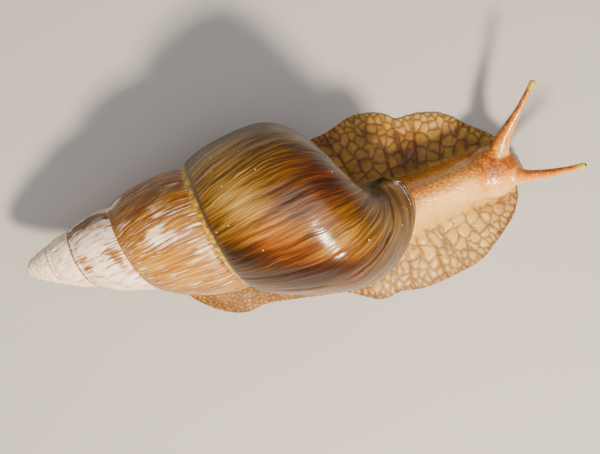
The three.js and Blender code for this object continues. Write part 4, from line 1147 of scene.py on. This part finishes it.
# This value carries the skin's pigment and the painted shade on its far sides.
amount = value_of(nodes, "orange_and_shade")
for mottle in (blotch, grain):
    amount = maths(nodes, "MULTIPLY_ADD", maths(nodes, "SUBTRACT", mottle, 0.5), 0.3, amount)
amount = maths(nodes, "MULTIPLY_ADD", tiny_beads, -0.4, amount)
lobe_tint = add(nodes, "ShaderNodeValToRGB", {0: amount}, ramp=[
    (0.0, "#dfb868"), (0.3, "#cca350"), (0.6, "#b48634"), (0.8, "#a06e28"), (1.0, "#7a4c1a"),
]).outputs[0]
neck_tint = add(nodes, "ShaderNodeValToRGB", {0: amount}, ramp=[
    (0.0, "#f2b866"), (0.3, "#e4a044"), (0.6, "#da881e"), (0.8, "#c06c12"), (1.0, "#98500e"),
]).outputs[0]
tint = mixed(nodes, value_of(nodes, "neck"), lobe_tint, neck_tint)
tint = mixed(nodes, maths(nodes, "MULTIPLY", value_of(nodes, "mauve"), 0.5), tint, hex_colour("#b4765a"))
# Painted shadow of the neck and shell: dark greenish brown on the left lobe beside the neck.
tint = mixed(nodes, maths(nodes, "MULTIPLY", value_of(nodes, "painted_shade_beside_neck"), 0.5), tint, hex_colour("#6d5a2c"))
tint = mixed(nodes, value_of(nodes, "tip_yellow"), tint, hex_colour("#ccae2e"))
deep = maths(nodes, "MULTIPLY", value_of(nodes, "groove"), 0.85)
deep_colour = mixed(nodes, amount, hex_colour("#74501a"), hex_colour("#44280a"))
tint = mixed(nodes, deep, tint, deep_colour)
links = skin_paint.node_tree.links
links.new(tint, surface.inputs["Base Color"])
wetness = value_of(nodes, "neck")
links.new(maths(nodes, "MULTIPLY_ADD", wetness, -0.32, 0.6), surface.inputs["Roughness"])
surface.inputs["IOR"].default_value = 1.4
surface.inputs["Subsurface Weight"].default_value = 0.15
surface.inputs["Subsurface Radius"].default_value = (0.0022, 0.0011, 0.0006)
surface.inputs["Subsurface Scale"].default_value = 1.0
links.new(maths(nodes, "MULTIPLY_ADD", wetness, 0.4, 0.1), surface.inputs["Coat Weight"])
surface.inputs["Coat Roughness"].default_value = 0.2
skin_height = maths(nodes, "MULTIPLY_ADD", tiny_beads, 1.3, maths(nodes, "MULTIPLY", grain, 0.8))
bump = add(nodes, "ShaderNodeBump", {"Height": skin_height, "Strength": 0.6, "Distance": 0.0003})
links.new(bump.outputs[0], surface.inputs["Normal"])
skin.data.materials.append(skin_paint)
print("skin material nodes:", len(nodes))

# %% [markdown]
# ### The eyes: dark and wet
# A snail's eye is a simple dark cup under clear skin. A little brown mottling and a very smooth
# surface are enough at its size.

# %% Eye material
eye_paint, nodes, surface = new_material("dark_wet_eye")
place_node = add(nodes, "ShaderNodeTexCoord").outputs["Object"]
tint = add(nodes, "ShaderNodeTexNoise", {"Scale": 2500.0, "Vector": place_node})
colour = mixed(nodes, tint.outputs[0], hex_colour("#3a2a10"), hex_colour("#6b5220"))
eye_paint.node_tree.links.new(colour, surface.inputs["Base Color"])
surface.inputs["Roughness"].default_value = 0.12
surface.inputs["IOR"].default_value = 1.38
for bead in beads:
    bead.data.materials.append(eye_paint)
print("materials:", [m.name for m in (shell_paint, skin_paint, eye_paint)])

# %% [markdown]
# ## What each piece stands for
# The shell stands for its five solids, the skin for all of the flesh, and each bead for its eye.
# All four ride on the snail's one body, because nothing on a still model moves.

# %% Ride and replace
shell_nodes = [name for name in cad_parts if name.startswith("shell_")]
eye_nodes = ["eye_left", "eye_right"]
flesh_nodes = [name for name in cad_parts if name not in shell_nodes + eye_nodes]
for piece, nodes_, slot in ((shell, shell_nodes, "shell_body_whorl"), (skin, flesh_nodes, "skin"),
                            (beads[0], eye_nodes[:1], "eye"), (beads[1], eye_nodes[1:], "eye")):
    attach(piece, "root")
    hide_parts(*nodes_)
print("replaced:", len(shell_nodes), "shell,", len(flesh_nodes), "flesh and 2 eye solids")

# %% [markdown]
# ## Floor, light and camera
# The snail crawls on a plain pale floor. A large soft light hangs over it, a smaller one from the
# front right gives the highlights and the shadow, and a faint glow all round keeps the shadows
# open. The camera looks straight down from 450 mm.

# %% Stage
bpy.ops.object.select_all(action="DESELECT")
bpy.ops.mesh.primitive_plane_add(size=6, location=(0, 0, 0))
ground = added("floor")
floor_paint, nodes, surface = new_material("pale_matt_floor")
surface.inputs["Base Color"].default_value = hex_colour("#aeaaa1")
surface.inputs["Roughness"].default_value = 0.85
ground.data.materials.append(floor_paint)
print("floor:", ground.name)


# %% Lights
def area_light(name, where, sides, power, glow, aim=(0.0, 0.0, 0.02)):
    bpy.ops.object.select_all(action="DESELECT")
    bpy.ops.object.light_add(type="AREA", location=where)
    lamp = added(name)
    lamp.data.shape = "RECTANGLE"
    lamp.data.size, lamp.data.size_y = sides
    lamp.data.energy = power
    lamp.data.color = hex_colour(glow)[:3]
    lamp.rotation_euler = (Vector(aim) - Vector(where)).to_track_quat("-Z", "Y").to_euler()


area_light("key_light", (0.22, -0.50, 0.62), (0.13, 0.10), 19.5, "#fff1dc")
area_light("overhead_light", (0.02, -0.10, 0.95), (1.5, 0.75), 8.5, "#e6e4f6")
world = bpy.data.worlds.new("studio")
bpy.context.scene.world = world
world.use_nodes = True
world.node_tree.nodes["Background"].inputs["Color"].default_value = hex_colour("#efe6da")
world.node_tree.nodes["Background"].inputs["Strength"].default_value = 0.32

# %% Camera
CAMERA_HEIGHT, VIEW_WIDTH = 450.0, 253.56  # millimetres; the width is measured on the floor
bpy.ops.object.select_all(action="DESELECT")
camera_place = (ZERO[0] * MM, ZERO[1] * MM, CAMERA_HEIGHT * MM)
bpy.ops.object.camera_add(location=camera_place, rotation=(0, 0, 0))
camera = added("camera")
camera.data.sensor_width = 36
camera.data.lens = 36 * CAMERA_HEIGHT / VIEW_WIDTH
camera.data.clip_start = 0.01
bpy.context.scene.camera = camera
print("camera lens:", round(camera.data.lens, 1), "mm")
